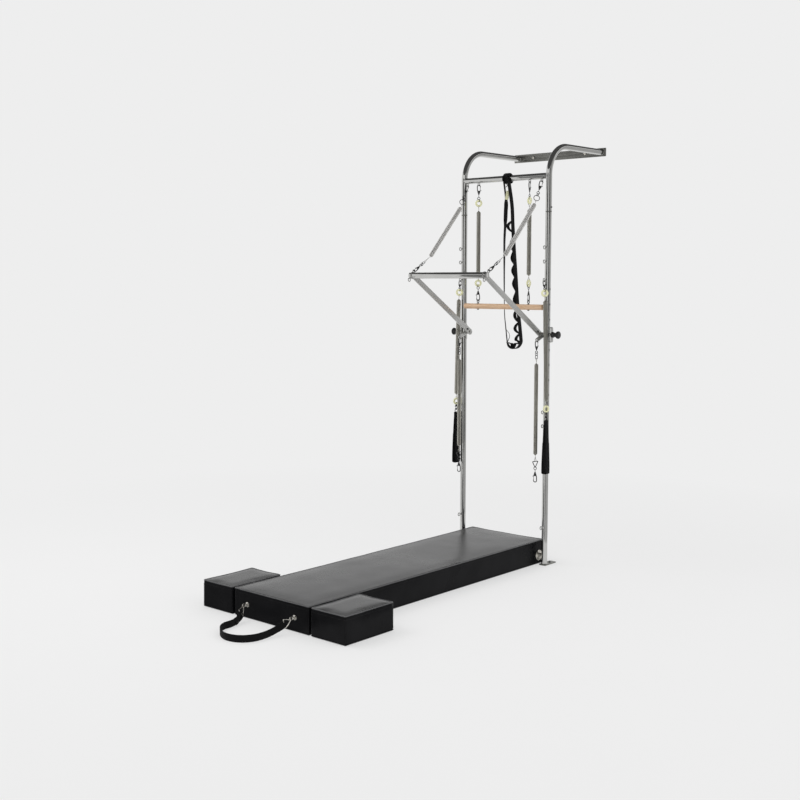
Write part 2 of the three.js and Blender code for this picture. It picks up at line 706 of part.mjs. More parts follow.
// The lug plate: it tapers from the pivot boss to the hole that the short spring hangs from.
function lugPlate(side) {
  const rim = EYE_HOLE_R + LUG_RIM;
  const bossR = BOSS_D / 2;
  const length = Math.hypot(LUG_REACH, LUG_DROP);
  const lean = Math.asin((bossR - rim) / length);
  const shape = new THREE.Shape();
  shape.absarc(0, 0, rim, Math.PI / 2 + lean, (3 * Math.PI) / 2 - lean, false);
  shape.absarc(length, 0, bossR, -Math.PI / 2 - lean, Math.PI / 2 + lean, false);
  shape.closePath();
  shape.holes.push(new THREE.Path().absarc(0, 0, EYE_HOLE_R, 0, 2 * Math.PI, true));
  const options = { depth: LUG_THICKNESS, bevelEnabled: false, curveSegments: CURVE_SEGMENTS };
  const plate = new THREE.ExtrudeGeometry(shape, options).translate(0, 0, -LUG_THICKNESS / 2);
  plate.rotateZ(Math.atan2(LUG_DROP, LUG_REACH));
  plate.rotateY(Math.PI / 2).rotateX(Math.PI / 2);
  return plate.translate(side * LUG_X, SHORT_EYE_Y, SHORT_EYE_Z);
}

// One carriage: a sleeve on the upright with the arm's pivot inside and the plunger's housing outside.
function addCarriage(name, side) {
  const x = side * UPRIGHT_X;
  const low = PIVOT_Z - SLEEVE_HEIGHT / 2;
  const high = PIVOT_Z + SLEEVE_HEIGHT / 2;
  const sleeve = rod([x, PLANE_Y, low], [x, PLANE_Y, high], 2 * SLEEVE_R);
  const tubeWay = bore([x, PLANE_Y, low - OVERRUN], [x, PLANE_Y, high + OVERRUN], 2 * SLEEVE_BORE_R);
  const bossStart = UPRIGHT_X - SLEEVE_BORE_R - SLEEVE_WALL / 2;
  const headStart = ARM_X - ARM_THICKNESS / 2 - FIT;
  const onAxis = (distance) => [side * distance, PLANE_Y, PIVOT_Z];
  const boss = rod(onAxis(bossStart), onAxis(ARM_OUTER_X + FIT), BOSS_D);
  const pin = rod(onAxis(bossStart), onAxis(headStart), PIVOT_PIN_D);
  const head = rod(onAxis(headStart), onAxis(headStart - PIN_HEAD_LENGTH), PIN_HEAD_D, SMALL_SIDES);
  const barX = UPRIGHT_X + TUBE_R + STRAP_BAR_OUT;
  const innerX = UPRIGHT_X + SLEEVE_BORE_R + SLEEVE_WALL / 2;
  const strip = (from, to, bottom, top) => {
    const halfWidth = STRAP_BAR_WIDTH / 2;
    const left = Math.min(side * from, side * to);
    const right = Math.max(side * from, side * to);
    return block([left, PLANE_Y - halfWidth, bottom], [right, PLANE_Y + halfWidth, top]);
  };
  const bar = strip(barX, barX + STRAP_BAR_THICKNESS, low, high);
  const tabEnd = barX + STRAP_BAR_THICKNESS / 2;
  const topTab = strip(innerX, tabEnd, high - STRAP_BAR_THICKNESS, high);
  const lowTab = strip(innerX, tabEnd, low, low + STRAP_BAR_THICKNESS);
  const housing = rod(onAxis(innerX), onAxis(HOUSING_END - FIT), HOUSING_D);
  const pinWay = bore(onAxis(UPRIGHT_X), onAxis(HOUSING_END + OVERRUN), HOLE_D, SMALL_SIDES);
  const outside = cut(join(sleeve, lugPlate(side), bar, topTab, lowTab, housing), tubeWay, pinWay);
  addPiece(`${name}_carriage`, join(outside, boss, pin, head), 'steel');
}

// The pull knob and its plunger, turned about the X axis.
function addKnob(name, side) {
  const plungerR = PLUNGER_D / 2;
  const plungerLength = HOUSING_END - UPRIGHT_X - BORE_R;
  const profile = [
    [0, -plungerLength],
    [plungerR, -plungerLength],
    [plungerR, 0],
    ...KNOB_SHARES.map(([radius, height]) => [radius * KNOB_D / 2, height * KNOB_LENGTH]),
    [0, KNOB_LENGTH],
  ];
  const points = profile.map(([radius, height]) => new THREE.Vector2(radius, height));
  const geometry = new THREE.LatheGeometry(points, ROUND_SIDES).rotateZ(-side * Math.PI / 2);
  addPiece(`${name}_pull_knob`, geometry, 'plastic', [side * HOUSING_END, PLANE_Y, PIVOT_Z]);
}

// The place of an eye on the push-through bar, at an angle from +Y towards +Z.
function barEyePlace(angle) {
  const turn = THREE.MathUtils.degToRad(angle);
  return [BAR_Y + BAR_EYE_REACH * Math.cos(turn), BAR_Z + BAR_EYE_REACH * Math.sin(turn)];
}

// The push-through bar: a capped tube with a vent hole below and two eyes near each end.
function pushBar() {
  const bar = rod([-PUSH_BAR_HALF, BAR_Y, BAR_Z], [PUSH_BAR_HALF, BAR_Y, BAR_Z], PUSH_BAR_D);
  const halfBore = PUSH_BAR_HALF - TUBE_WALL;
  const boreD = PUSH_BAR_D - 2 * TUBE_WALL;
  const hollow = rod([-halfBore, BAR_Y, BAR_Z], [halfBore, BAR_Y, BAR_Z], boreD);
  const vent = rod([0, BAR_Y, BAR_Z], [0, BAR_Y, BAR_Z - PUSH_BAR_D], PUSH_VENT_D, SMALL_SIDES);
  const eyes = [];
  for (const side of [-1, 1]) {
    for (const angle of [BAR_EYE_ANGLE, LOWER_EYE_ANGLE]) {
      const turn = THREE.MathUtils.degToRad(angle);
      const tilt = tiltOf(Math.cos(turn), Math.sin(turn));
      const centre = [side * OUTER_EYE_X, BAR_Y, BAR_Z];
      eyes.push(eye(BAR_EYE_REACH, PUSH_BAR_D / 2 - TUBE_WALL / 2, tilt, centre));
    }
  }
  return cut(join(bar, ...eyes), hollow, vent);
}

// One flat arm from the pivot to the bar, with a round lower end.
function arm(side) {
  const half = ARM_WIDTH / 2;
  const shape = new THREE.Shape();
  const end = ARM_LENGTH - PUSH_BAR_D / 4;
  shape.absarc(0, 0, half, Math.PI / 2, (3 * Math.PI) / 2, false);
  shape.lineTo(end, -half);
  shape.lineTo(end, half);
  shape.closePath();
  const holes = [[0, PIVOT_PIN_D / 2 + FIT], [BOLT_HOLE_FROM_PIVOT, BOLT_HOLE_D / 2]];
  for (const [along, radius] of holes) {
    shape.holes.push(new THREE.Path().absarc(along, 0, radius, 0, 2 * Math.PI, true));
  }
  const options = { depth: ARM_THICKNESS, bevelEnabled: false, curveSegments: CURVE_SEGMENTS };
  const flat = new THREE.ExtrudeGeometry(shape, options).translate(0, 0, -ARM_THICKNESS / 2);
  flat.rotateZ(LIFT);
  flat.rotateX(Math.PI / 2).rotateZ(-Math.PI / 2);
  const placed = flat.translate(side * ARM_X, PLANE_Y, PIVOT_Z);
  const tube = bore(
    [side * (ARM_X - ARM_WIDTH), BAR_Y, BAR_Z],
    [side * (ARM_X + ARM_WIDTH), BAR_Y, BAR_Z],
    PUSH_BAR_D + 2 * FIT,
  );
  return cut(placed, tube);
}

// The bar, its arms and the springs that hold it up.
function addPushThrough() {
  addPiece('push_bar', pushBar(), 'steel');
  const top = [CROSSBAR_EYE_Y, CROSSBAR_EYE_Z];
  const bottom = barEyePlace(BAR_EYE_ANGLE);
  const chord = [bottom[0] - top[0], bottom[1] - top[1]];
  const length = Math.hypot(...chord);
  const along = chord.map((value) => value / length);
  const below = [-along[1], along[0]];
  const onRoute = (share) => [0, 1].map((i) => top[i] + chord[i] * share + below[i] * PUSH_SAG);
  const start = onRoute(PUSH_COIL_START_SHARE);
  const end = onRoute(PUSH_COIL_END_SHARE);
  const upper = [start[0] - top[0], start[1] - top[1]];
  const lower = [end[0] - bottom[0], end[1] - bottom[1]];
  const coilTilt = tiltOf(chord[0], chord[1]);
  const coilLength = length * (PUSH_COIL_END_SHARE - PUSH_COIL_START_SHARE) - 2 * FIT;
  const coilStart = [start[0] + along[0] * FIT, start[1] + along[1] * FIT];
  for (const [name, side] of [['left', -1], ['right', 1]]) {
    const x = side * OUTER_EYE_X;
    addPiece(`${name}_arm`, arm(side), 'brushed');
    const topHook = hook(Math.hypot(...upper));
    addPiece(`${name}_push_hook_top`, topHook, 'steel', [x, ...top], tiltOf(...upper));
    const wire = coil(`${name}_push_spring`, coilLength, COIL_D);
    addPiece(`${name}_push_spring`, wire, 'spring', [x, ...coilStart], coilTilt);
    const lowHook = hook(Math.hypot(...lower));
    addPiece(`${name}_push_hook_bottom`, lowHook, 'steel', [x, ...bottom], tiltOf(...lower));
  }
}

// The roll-down bar, hung from two springs on the crossbar's inner eyes.
function addRollDown() {
  const y = CROSSBAR_EYE_Y;
  const topZ = CROSSBAR_EYE_Z;
  const coilZ = topZ - ROLL_HOOK_TOP - FIT;
  const eyeZ = coilZ - ROLL_COIL_LENGTH - FIT - ROLL_HOOK_BOTTOM;
  const barZ = eyeZ - ROLL_EYE_REACH;
  const half = UPRIGHT_X - TUBE_R - ROLL_BAR_CLEARANCE;
  const wood = rod([-half, y, barZ], [half, y, barZ], ROLL_BAR_D);
  const barTop = barZ + ROLL_BAR_D / 2;
  const barBottom = barZ - ROLL_BAR_D / 2;
  const bores = [-1, 1].map((side) => bore(
    [side * INNER_EYE_X, y, barBottom - OVERRUN],
    [side * INNER_EYE_X, y, barTop + OVERRUN],
    EYE_SHANK_D + 2 * FIT,
    SMALL_SIDES,
  ));
  addPiece('roll_bar', cut(wood, ...bores), 'beech');
  for (const [name, side] of [['left', -1], ['right', 1]]) {
    const x = side * INNER_EYE_X;
    addPiece(`${name}_roll_hook_top`, hook(ROLL_HOOK_TOP), 'steel', [x, y, topZ]);
    const wire = coil(`${name}_roll_spring`, ROLL_COIL_LENGTH, COIL_D);
    addPiece(`${name}_roll_spring`, wire, 'spring', [x, y, coilZ]);
    const lowHook = hook(ROLL_HOOK_BOTTOM);
    addPiece(`${name}_roll_hook_bottom`, lowHook, 'steel', [x, y, eyeZ], Math.PI);
    const nutBottom = barBottom - FIT - ROLL_NUT_HEIGHT;
    const shankBottom = nutBottom + ROLL_NUT_HEIGHT / 2;
    const shank = rod([x, y, shankBottom], [x, y, eyeZ - EYE_R], EYE_SHANK_D, SMALL_SIDES);
    const nut = rod([x, y, nutBottom], [x, y, nutBottom + ROLL_NUT_HEIGHT], ROLL_NUT_D, SMALL_SIDES);
    const loop = ring(EYE_R, EYE_WIRE, 'x', [x, y, eyeZ]);
    addPiece(`${name}_roll_eyebolt`, join(shank, nut, loop), 'steel');
  }
}

// A band of webbing bent into a long loop in the XZ plane, its top at the origin.
function webLoop(length, spread) {
  const outerR = spread / 2;
  const innerR = outerR - WEB_THICKNESS;
  const shape = new THREE.Shape();
  shape.absarc(0, -outerR, outerR, 0, Math.PI, false);
  shape.absarc(0, -(length - outerR), outerR, Math.PI, 2 * Math.PI, false);
  shape.closePath();
  const hole = new THREE.Path();
  hole.absarc(0, -outerR, innerR, Math.PI, 0, true);
  hole.absarc(0, -(length - outerR), innerR, 0, -Math.PI, true);
  hole.closePath();
  shape.holes.push(hole);
  const options = { depth: WEB_WIDTH, bevelEnabled: false, curveSegments: CURVE_SEGMENTS };
  const band = new THREE.ExtrudeGeometry(shape, options).translate(0, 0, -WEB_WIDTH / 2);
  return band.rotateX(Math.PI / 2);
}

// The long springs on the uprights, each with a hand loop sewn to a ring.
function addLegSprings() {
  const y = PLANE_Y - UPRIGHT_EYE_REACH;
  const topZ = eyeHeight(LEG_EYE_INDEX);
  const coilZ = topZ - LEG_HOOK_TOP - FIT;
  const lowZ = coilZ - LEG_COIL_LENGTH - FIT - LEG_HOOK_BOTTOM;
  const ringZ = -HANDLE_RING_DROP;
  const webZ = ringZ - HANDLE_RING_R + WEB_THICKNESS / 2;
  for (const [name, side] of [['left', -1], ['right', 1]]) {
    const eyeX = side * UPRIGHT_X;
    const x = side * (UPRIGHT_X + LEG_SIDE_STEP);
    const topHook = hook(LEG_HOOK_TOP, side * LEG_SIDE_STEP);
    addPiece(`${name}_leg_hook_top`, topHook, 'steel', [eyeX, y, topZ]);
    const wire = coil(`${name}_leg_spring`, LEG_COIL_LENGTH, COIL_D);
    addPiece(`${name}_leg_spring`, wire, 'spring', [x, y, coilZ]);
    const belowBow = BOW_DROP - BOW_R;
    const lowHook = hook(LEG_HOOK_BOTTOM + belowBow);
    addPiece(`${name}_leg_hook_bottom`, lowHook, 'steel', [x, y, lowZ - belowBow], Math.PI);
    const handRing = ring(HANDLE_RING_R, HOOK_WIRE, 'x', [0, 0, ringZ]);
    const loop = webLoop(HANDLE_LENGTH, HANDLE_SPREAD).translate(0, 0, webZ);
    addPiece(`${name}_handle`, join(handRing, loop), 'webbing', [x, y, lowZ]);
  }
}

// The free springs that hang from the carriages' lugs. The bow's sides slope down past the edges
// of the flat plate, so the hook sits that much higher than in a round eye.
function addShortSprings() {
  const edgeRise = (LUG_THICKNESS / 2) * Math.tan(Math.PI / RING_STEPS);
  const topZ = SHORT_EYE_Z + edgeRise;
  const coilZ = topZ - SHORT_HOOK_TOP - FIT;
  const lowZ = coilZ - SHORT_COIL_LENGTH - FIT - SHORT_HOOK_BOTTOM;
  for (const [name, side] of [['left', -1], ['right', 1]]) {
    const x = side * LUG_X;
    const topHook = hook(SHORT_HOOK_TOP);
    addPiece(`${name}_short_hook_top`, topHook, 'steel', [x, SHORT_EYE_Y, topZ]);
    const wire = coil(`${name}_short_spring`, SHORT_COIL_LENGTH, SHORT_COIL_D);
    addPiece(`${name}_short_spring`, wire, 'spring', [x, SHORT_EYE_Y, coilZ]);
    const lowHook = hook(SHORT_HOOK_BOTTOM);
    addPiece(`${name}_short_hook_bottom`, lowHook, 'steel', [x, SHORT_EYE_Y, lowZ], Math.PI);
  }
}

// A flat section for sweeping webbing.
function flatSection(thickness, width) {
  const shape = new THREE.Shape();
  shape.moveTo(-thickness / 2, -width / 2);
  shape.lineTo(thickness / 2, -width / 2);
  shape.lineTo(thickness / 2, width / 2);
  shape.lineTo(-thickness / 2, width / 2);
  shape.closePath();
  return shape;
}

// The long loop strap: a wrap round the crossbar and a loop that hangs behind the roll-down bar.
function addLoopStrap() {
  const wrapR = TUBE_R + FIT + WEB_THICKNESS;
  const left = LOOP_STRAP_LEFT_X - LOOP_WRAP_MARGIN;
  const right = LOOP_STRAP_LEFT_X + LOOP_STRAP_TOP_SPREAD + LOOP_WRAP_MARGIN;
  const onBar = (x) => [x, PLANE_Y, CROSSBAR_Z];
  const wrap = rod(onBar(left), onBar(right), 2 * wrapR);
  const barWay = bore(onBar(left - OVERRUN), onBar(right + OVERRUN), 2 * (TUBE_R + FIT));
  const topZ = CROSSBAR_Z - TUBE_R - FIT - WEB_THICKNESS / 2;
  const bottomR = LOOP_STRAP_BOTTOM_SPREAD / 2;
  const bottomZ = topZ - LOOP_STRAP_LENGTH + bottomR;
  const drop = topZ - bottomZ;
  const backDrop = drop * LOOP_STRAP_BACK_SHARE;
  const at = (x, z) => [x, PLANE_Y + LOOP_STRAP_BACK * Math.min(1, (topZ - z) / backDrop), z];
  const centreX = LOOP_STRAP_LEFT_X + LOOP_STRAP_TOP_SPREAD / 2 + LOOP_STRAP_DRIFT;
  const leftTop = LOOP_STRAP_LEFT_X;
  const rightTop = LOOP_STRAP_LEFT_X + LOOP_STRAP_TOP_SPREAD;
  const route = [];
  for (let i = 0; i < STRAP_STEPS; i += 1) {
    const share = i / STRAP_STEPS;
    route.push(at(leftTop + (centreX - bottomR - leftTop) * share ** 2, topZ - drop * share));
  }
  for (let i = 0; i <= BEND_STEPS; i += 1) {
    const angle = Math.PI * (1 + i / BEND_STEPS);
    route.push(at(centreX + bottomR * Math.cos(angle), bottomZ + bottomR * Math.sin(angle)));
  }
  for (let i = STRAP_STEPS - 1; i >= 0; i -= 1) {
    const share = i / STRAP_STEPS;
    route.push(at(rightTop + (centreX + bottomR - rightTop) * share ** 2, topZ - drop * share));
  }
  const band = sweep(route, flatSection(WEB_THICKNESS, LOOP_STRAP_WIDTH));
  addPiece('loop_strap', join(cut(wrap, barWay), cut(band, barWay)), 'webbing');
}

// The snap hooks on the mat's eye bolts and the strap that lies in front of them.
function addFootStrap() {
  const eyeY = -(MAT_LENGTH / 2 + MAT_EYE_REACH);
  const lean = THREE.MathUtils.degToRad(-FOOT_HOOK_LEAN);
  const endY = eyeY + FOOT_HOOK_LENGTH * Math.sin(lean);
  const endZ = MAT_EYE_Z - FOOT_HOOK_LENGTH * Math.cos(lean);
  for (const [name, side] of [['left', -1], ['right', 1]]) {
    const place = [side * MAT_EYE_X, eyeY, MAT_EYE_Z];
    addPiece(`${name}_strap_hook`, hook(FOOT_HOOK_LENGTH), 'steel', place, lean);
  }
  const half = FOOT_STRAP_WIDTH / 2;
  const restZ = half + FIT;
  const bottomR = FOOT_STRAP_SPREAD / 2;
  const frontY = endY - FOOT_STRAP_FORWARD + bottomR;
  const route = [];
  const ringReach = END_RING_R + HOOK_WIRE / 2;
  const startY = eyeY + (FOOT_HOOK_LENGTH - ringReach) * Math.sin(lean) - ringReach - FIT;
  const startZ = Math.max(endZ - HOOK_WIRE, restZ);
  route.push([-MAT_EYE_X, startY, startZ]);
  for (let i = 0; i <= BEND_STEPS; i += 1) {
    const angle = Math.PI * (1 + i / BEND_STEPS);
    route.push([bottomR * Math.cos(angle), frontY + bottomR * Math.sin(angle), restZ]);
  }
  route.push([MAT_EYE_X, startY, startZ]);
  addPiece('foot_strap', sweep(route, flatSection(FOOT_STRAP_WIDTH, WEB_THICKNESS)), 'webbing');
}

addMat();
addBoxes();
addMatEyebolts();
for (const [name, side] of [['left', -1], ['right', 1]]) {
  addUpright(name, side);
  addTopBend(name, side);
  addCarriage(name, side);
  addKnob(name, side);
}
addCrossbar();
addWallPlate();
addFeet();
addPushThrough();
addRollDown();
addLegSprings();
addShortSprings();
addLoopStrap();
addFootStrap();

export default tower;
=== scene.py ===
"""Dresses the wall tower for mat exercises: its cushions, tubes, bars, springs, hooks and straps.

Metres, +X to the right, +Y towards the wall, +Z up, origin under the centre of the mat.
"""

import logging
import math
from dataclasses import dataclass
from enum import Enum
from math import cos, pi, radians, sin
from typing import Callable, Iterable, Sequence

import bmesh
import bpy
from mathutils import Matrix, Vector, noise
from mathutils.bvhtree import BVHTree
from mathutils.kdtree import KDTree


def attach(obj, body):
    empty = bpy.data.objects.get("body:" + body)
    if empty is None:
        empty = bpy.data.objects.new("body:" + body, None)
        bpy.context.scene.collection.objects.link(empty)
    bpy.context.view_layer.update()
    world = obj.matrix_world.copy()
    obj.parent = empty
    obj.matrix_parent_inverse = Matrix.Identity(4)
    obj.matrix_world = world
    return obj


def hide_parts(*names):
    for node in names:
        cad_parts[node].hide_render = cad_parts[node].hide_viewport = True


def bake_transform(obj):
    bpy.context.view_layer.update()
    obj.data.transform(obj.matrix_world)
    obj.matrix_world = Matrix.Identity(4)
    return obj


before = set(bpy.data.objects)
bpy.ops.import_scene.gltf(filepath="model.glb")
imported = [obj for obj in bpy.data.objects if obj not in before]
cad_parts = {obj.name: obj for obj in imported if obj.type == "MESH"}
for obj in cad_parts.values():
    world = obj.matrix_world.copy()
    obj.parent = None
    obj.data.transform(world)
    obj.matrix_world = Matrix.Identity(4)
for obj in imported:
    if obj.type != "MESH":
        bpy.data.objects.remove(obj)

LOG = logging.getLogger("tower")
SMOOTH_ANGLE = radians(38)
Point = Sequence[float]
Pair = tuple[float, float]
Triple = tuple[float, float, float]
Outline = list[Pair]
Socket = bpy.types.NodeSocket
Material = bpy.types.Material
Mesh = bpy.types.Mesh
Piece = bpy.types.Object
Route = Sequence[Vector]

# The three axes
X, Y, Z = (Vector(way) for way in ((1, 0, 0), (0, 1, 0), (0, 0, 1)))


class Side(Enum):
    """The two sides of the tower, with the sign of X."""

    LEFT = -1
    RIGHT = 1

    @property
    def word(self) -> str:
        """The side's name as it stands in the names of the pieces."""
        return self.name.lower()


class Slot(Enum):
    """The record's material slots that the pieces name."""

    FRAME = "frame_steel"
    BRIGHT = "bright_steel"
    DARK = "dark_steel"
    SPRING = "spring_steel"
    VINYL = "vinyl"
    WEBBING = "webbing"
    BEECH = "beech"
    PLASTIC = "knob_plastic"


@dataclass(frozen=True)
class Plan:
    """The places and sizes that the sub-assemblies share."""

    upright_x: float = 0.305
    plane_y: float = 0.917
    tube_radius: float = 0.0175
    tube_wall: float = 0.002
    seam_z: float = 2.049
    crossbar_z: float = 2.254
    top_run_z: float = 2.428
    wall_y: float = 1.473
    pivot_z: float = 1.351
    eye_radius: float = 0.009
    eye_wire: float = 0.0025
    eye_reach: float = 0.038
    eye_heights: tuple[float, ...] = (1.84902, 1.76890, 1.66399, 0.90402, 0.82390, 0.22498)
    crossbar_eye: Pair = (0.89979, 2.22943)
    outer_eye_x: float = 0.268
    inner_eye_x: float = 0.184
    push_bar: Pair = (0.38482, 1.69004)
    push_eye_reach: float = 0.031
    push_eye_angle: float = 47
    arm_lift: float = 32.5
    arm_x: float = 0.257
    arm_thickness: float = 0.006
    lug: Triple = (0.282, 0.071, 0.03)
    foot_tube_z: float = 0.052
    mat_width: float = 0.53
    mat_eye: Triple = (0.169, -0.987, 0.07)
    hand_loop_x: float = 0.331


PLAN = Plan()


# Finishes


class Nodes:
    """A node tree in the making."""

    def __init__(self, tree: bpy.types.NodeTree) -> None:
        """Takes up a tree."""
        self.tree = tree

    def node(self, kind: str, inputs: dict | None = None, **settings: object) -> bpy.types.Node:
        """Adds a node.

        Args:
            kind: The node's type name.
            inputs: Values or output sockets for its inputs, by name or number.
            settings: Properties of the node.

        Returns:
            The new node.
        """
        made = self.tree.nodes.new(kind)
        for key, value in settings.items():
            setattr(made, key, value)
        for key, value in (inputs or {}).items():
            self.feed(made.inputs[key], value)
        return made

    def feed(self, socket: Socket, value: object) -> None:
        """Sets a socket, or links it when the value is another socket."""
        if isinstance(value, Socket):
            self.tree.links.new(value, socket)
        else:
            socket.default_value = value

    def math(self, operation: str, first: object, second: object = 0.0) -> Socket:
        """One sum on two values."""
        return self.node("ShaderNodeMath", {0: first, 1: second}, operation=operation).outputs[0]

    def times(self, value: Socket, factor: float) -> Socket:
        """A value times a factor."""
        return self.math("MULTIPLY", value, factor)


class Recipe(Nodes):
    """The nodes of one material in the making."""

    def __init__(self, name: str) -> None:
        """Starts a material of that name with its own shader."""
        self.material = bpy.data.materials.new(name)
        self.material.use_nodes = True
        super().__init__(self.material.node_tree)
        self.shader = self.tree.nodes["Principled BSDF"]
        self.coordinates = self.tree.nodes.new("ShaderNodeTexCoord")

    def put(self, **values: object) -> None:
        """Sets or links the shader's inputs, with _ for a space in their names."""
        for label, value in values.items():
            self.feed(self.shader.inputs[label.replace("_", " ")], value)

    def mapped(self, scale: Point = (1, 1, 1), turn: Point = (0, 0, 0)) -> Socket:
        """A texture place on the object, stretched and turned by radians along and about each axis."""
        inputs = {"Vector": self.coordinates.outputs["Object"], "Scale": scale, "Rotation": turn}
        return self.node("ShaderNodeMapping", inputs).outputs["Vector"]

    def noise(self, place: Socket, scale: float, detail: float = 4, rough: float = 0.55) -> Socket:
        """A noise value from 0 to 1."""
        made = self.node("ShaderNodeTexNoise", {"Vector": place, "Scale": scale, "Detail": detail, "Roughness": rough})
        return made.outputs["Fac"]

    def sum(self, first: Socket, share: float, second: Socket, other: float) -> Socket:
        """Two values added up, each times its share."""
        return self.math("ADD", self.times(first, share), self.times(second, other))

    def wave(self, value: Socket, length: float) -> Socket:
        """A sine over a value, with a wavelength."""
        return self.math("SINE", self.times(value, 2 * pi / length))

    def spread(self, value: Socket, low: float, high: float, start: float = 0.0, end: float = 1.0) -> Socket:
        """Spreads a value between start and end over low to high."""
        inputs = {"Value": value, "From Min": start, "From Max": end, "To Min": low, "To Max": high}
        return self.node("ShaderNodeMapRange", inputs).outputs["Result"]

    def blend(self, value: Socket, first: Point, second: Point) -> Socket:
        """A colour between two colours."""
        made = self.node("ShaderNodeMix", {"Factor": value}, data_type="RGBA")
        for label, colour in (("A", first), ("B", second)):
            made.inputs[label].default_value = (*colour, 1)
        return made.outputs["Result"]

    def bump(self, height: Socket, strength: float, distance: float) -> None:
        """Puts a relief on the shader, over any relief that is there."""
        made = self.node("ShaderNodeBump", {"Strength": strength, "Distance": distance, "Height": height})
        before = self.shader.inputs["Normal"].links
        if before:
            self.tree.links.new(before[0].from_socket, made.inputs["Normal"])
        self.tree.links.new(made.outputs["Normal"], self.shader.inputs["Normal"])


@dataclass(frozen=True)
class MetalFinish:
    """Steel or aluminium: drawn lines, small marks and an uneven gloss."""

    name: str
    colour: Triple
    shade: Triple
    roughness: Pair
    stretch: Triple = (160, 160, 4)
    turn: Triple = (0, 0, 0)
    line_depth: float = 0.04
    metallic: float = 1.0

    def make(self) -> Material:
        """Builds the material."""
        recipe = Recipe(self.name)
        place = recipe.mapped()
        lines = recipe.noise(recipe.mapped(scale=self.stretch, turn=self.turn), 6, 3)
        clouds = recipe.noise(place, 9, 5)
        marks = recipe.noise(place, 420, 2)
        worn = recipe.sum(lines, 0.5, clouds, 0.5)
        recipe.put(
            Base_Color=recipe.blend(recipe.spread(worn, 0, 1, 0.35, 0.65), self.shade, self.colour),
            Roughness=recipe.spread(worn, *self.roughness, 0.3, 0.7), Metallic=self.metallic,
        )
        recipe.bump(lines, self.line_depth, 0.0003)
        recipe.bump(marks, self.line_depth / 2, 0.0002)
        return recipe.material


@dataclass(frozen=True)
class VinylFinish:
    """Upholstery vinyl with a fine leather grain."""

    name: str
    colour: Triple = (0.0055, 0.0055, 0.0062)
    shade: Triple = (0.0085, 0.0085, 0.0095)
    grain: float = 620
    gloss: float = 0.5

    def make(self) -> Material:
        """Builds the material."""
        recipe = Recipe(self.name)
        place = recipe.mapped()
        warped = recipe.node("ShaderNodeVectorMath", {0: place}, operation="ADD")
        drift = recipe.node("ShaderNodeTexNoise", {"Vector": place, "Scale": 240.0, "Detail": 2.0})
        shrink = recipe.node("ShaderNodeVectorMath", {0: drift.outputs["Color"], "Scale": 0.0012}, operation="SCALE")
        recipe.feed(warped.inputs[1], shrink.outputs["Vector"])
        inputs = {"Vector": warped.outputs["Vector"], "Scale": self.grain}
        cells = recipe.node("ShaderNodeTexVoronoi", inputs, feature="DISTANCE_TO_EDGE")
        pebbles = recipe.spread(cells.outputs["Distance"], 0, 1, 0, 0.22)
        clouds = recipe.noise(place, 7, 5)
        handled = recipe.noise(place, 2.2, 3)
        facing = recipe.node("ShaderNodeLayerWeight", {"Blend": 0.5}).outputs["Facing"]
        recipe.put(
            Base_Color=recipe.blend(recipe.spread(clouds, 0, 1, 0.35, 0.65), self.colour, self.shade),
            Roughness=recipe.spread(recipe.sum(clouds, 0.4, handled, 0.6), 0.24, 0.33, 0.3, 0.7),
            Specular_IOR_Level=recipe.spread(facing, 0.07, self.gloss, 0.45, 0.72),
        )
        recipe.bump(pebbles, 0.1, 0.0003)
        recipe.bump(recipe.noise(place, 34, 4), 0.05, 0.0016)
        return recipe.material


@dataclass(frozen=True)
class WebbingFinish:
    """Woven webbing: chevron ribs that follow the band, with fluff on the yarn."""

    name: str
    colour: Triple = (0.0035, 0.0035, 0.0038)
    shade: Triple = (0.011, 0.011, 0.0115)
    rib: float = 0.0022

    def make(self) -> Material:
        """Builds the material."""
        recipe = Recipe(self.name)
        split = recipe.node("ShaderNodeSeparateXYZ", {"Vector": recipe.coordinates.outputs["UV"]})
        across, along = split.outputs["X"], split.outputs["Y"]
        slant = recipe.math("ADD", along, recipe.math("PINGPONG", across, 3 * self.rib))
        weave = recipe.sum(recipe.wave(slant, self.rib), 0.35, recipe.wave(across, self.rib * 0.6), 0.15)
        fluff = recipe.noise(recipe.mapped(), 900, 3)
        mixed = recipe.sum(recipe.math("ADD", weave, 0.5), 0.7, fluff, 0.3)
        recipe.put(
            Base_Color=recipe.blend(mixed, self.colour, self.shade), Roughness=recipe.spread(fluff, 0.72, 0.95),
            Specular_IOR_Level=0.12, Sheen_Weight=0.04, Sheen_Roughness=0.5,
        )
        recipe.bump(mixed, 0.55, 0.0006)
        return recipe.material


@dataclass(frozen=True)
class WoodFinish:
    """Wood with its grain along one axis, or layers of veneer along Z."""

    name: str
    colour: Triple
    shade: Triple
    stretch: Triple = (2.2, 34, 34)
    roughness: Pair = (0.34, 0.5)
    layer: float = 0.0

    def make(self) -> Material:
        """Builds the material."""
        recipe = Recipe(self.name)
        x, y, z = self.stretch
        bands = recipe.noise(recipe.mapped(self.stretch), 3.2, 6, 0.6)
        pores = recipe.noise(recipe.mapped((x * 9, y * 14, z * 14)), 5, 2)
        dashes = recipe.spread(pores, 0, 1, 0.56, 0.66)
        grain = recipe.math("SUBTRACT", recipe.spread(bands, 0, 1, 0.34, 0.66), recipe.times(dashes, 0.35))
        if self.layer:
            split = recipe.node("ShaderNodeSeparateXYZ", {"Vector": recipe.coordinates.outputs["Object"]})
            grain = recipe.sum(grain, 0.6, recipe.wave(split.outputs["Z"], self.layer), 0.25)
        tone = recipe.blend(grain, self.shade, self.colour)
        recipe.put(Base_Color=tone, Roughness=recipe.spread(bands, *self.roughness))
        recipe.bump(grain, 0.12, 0.0004)
        return recipe.material


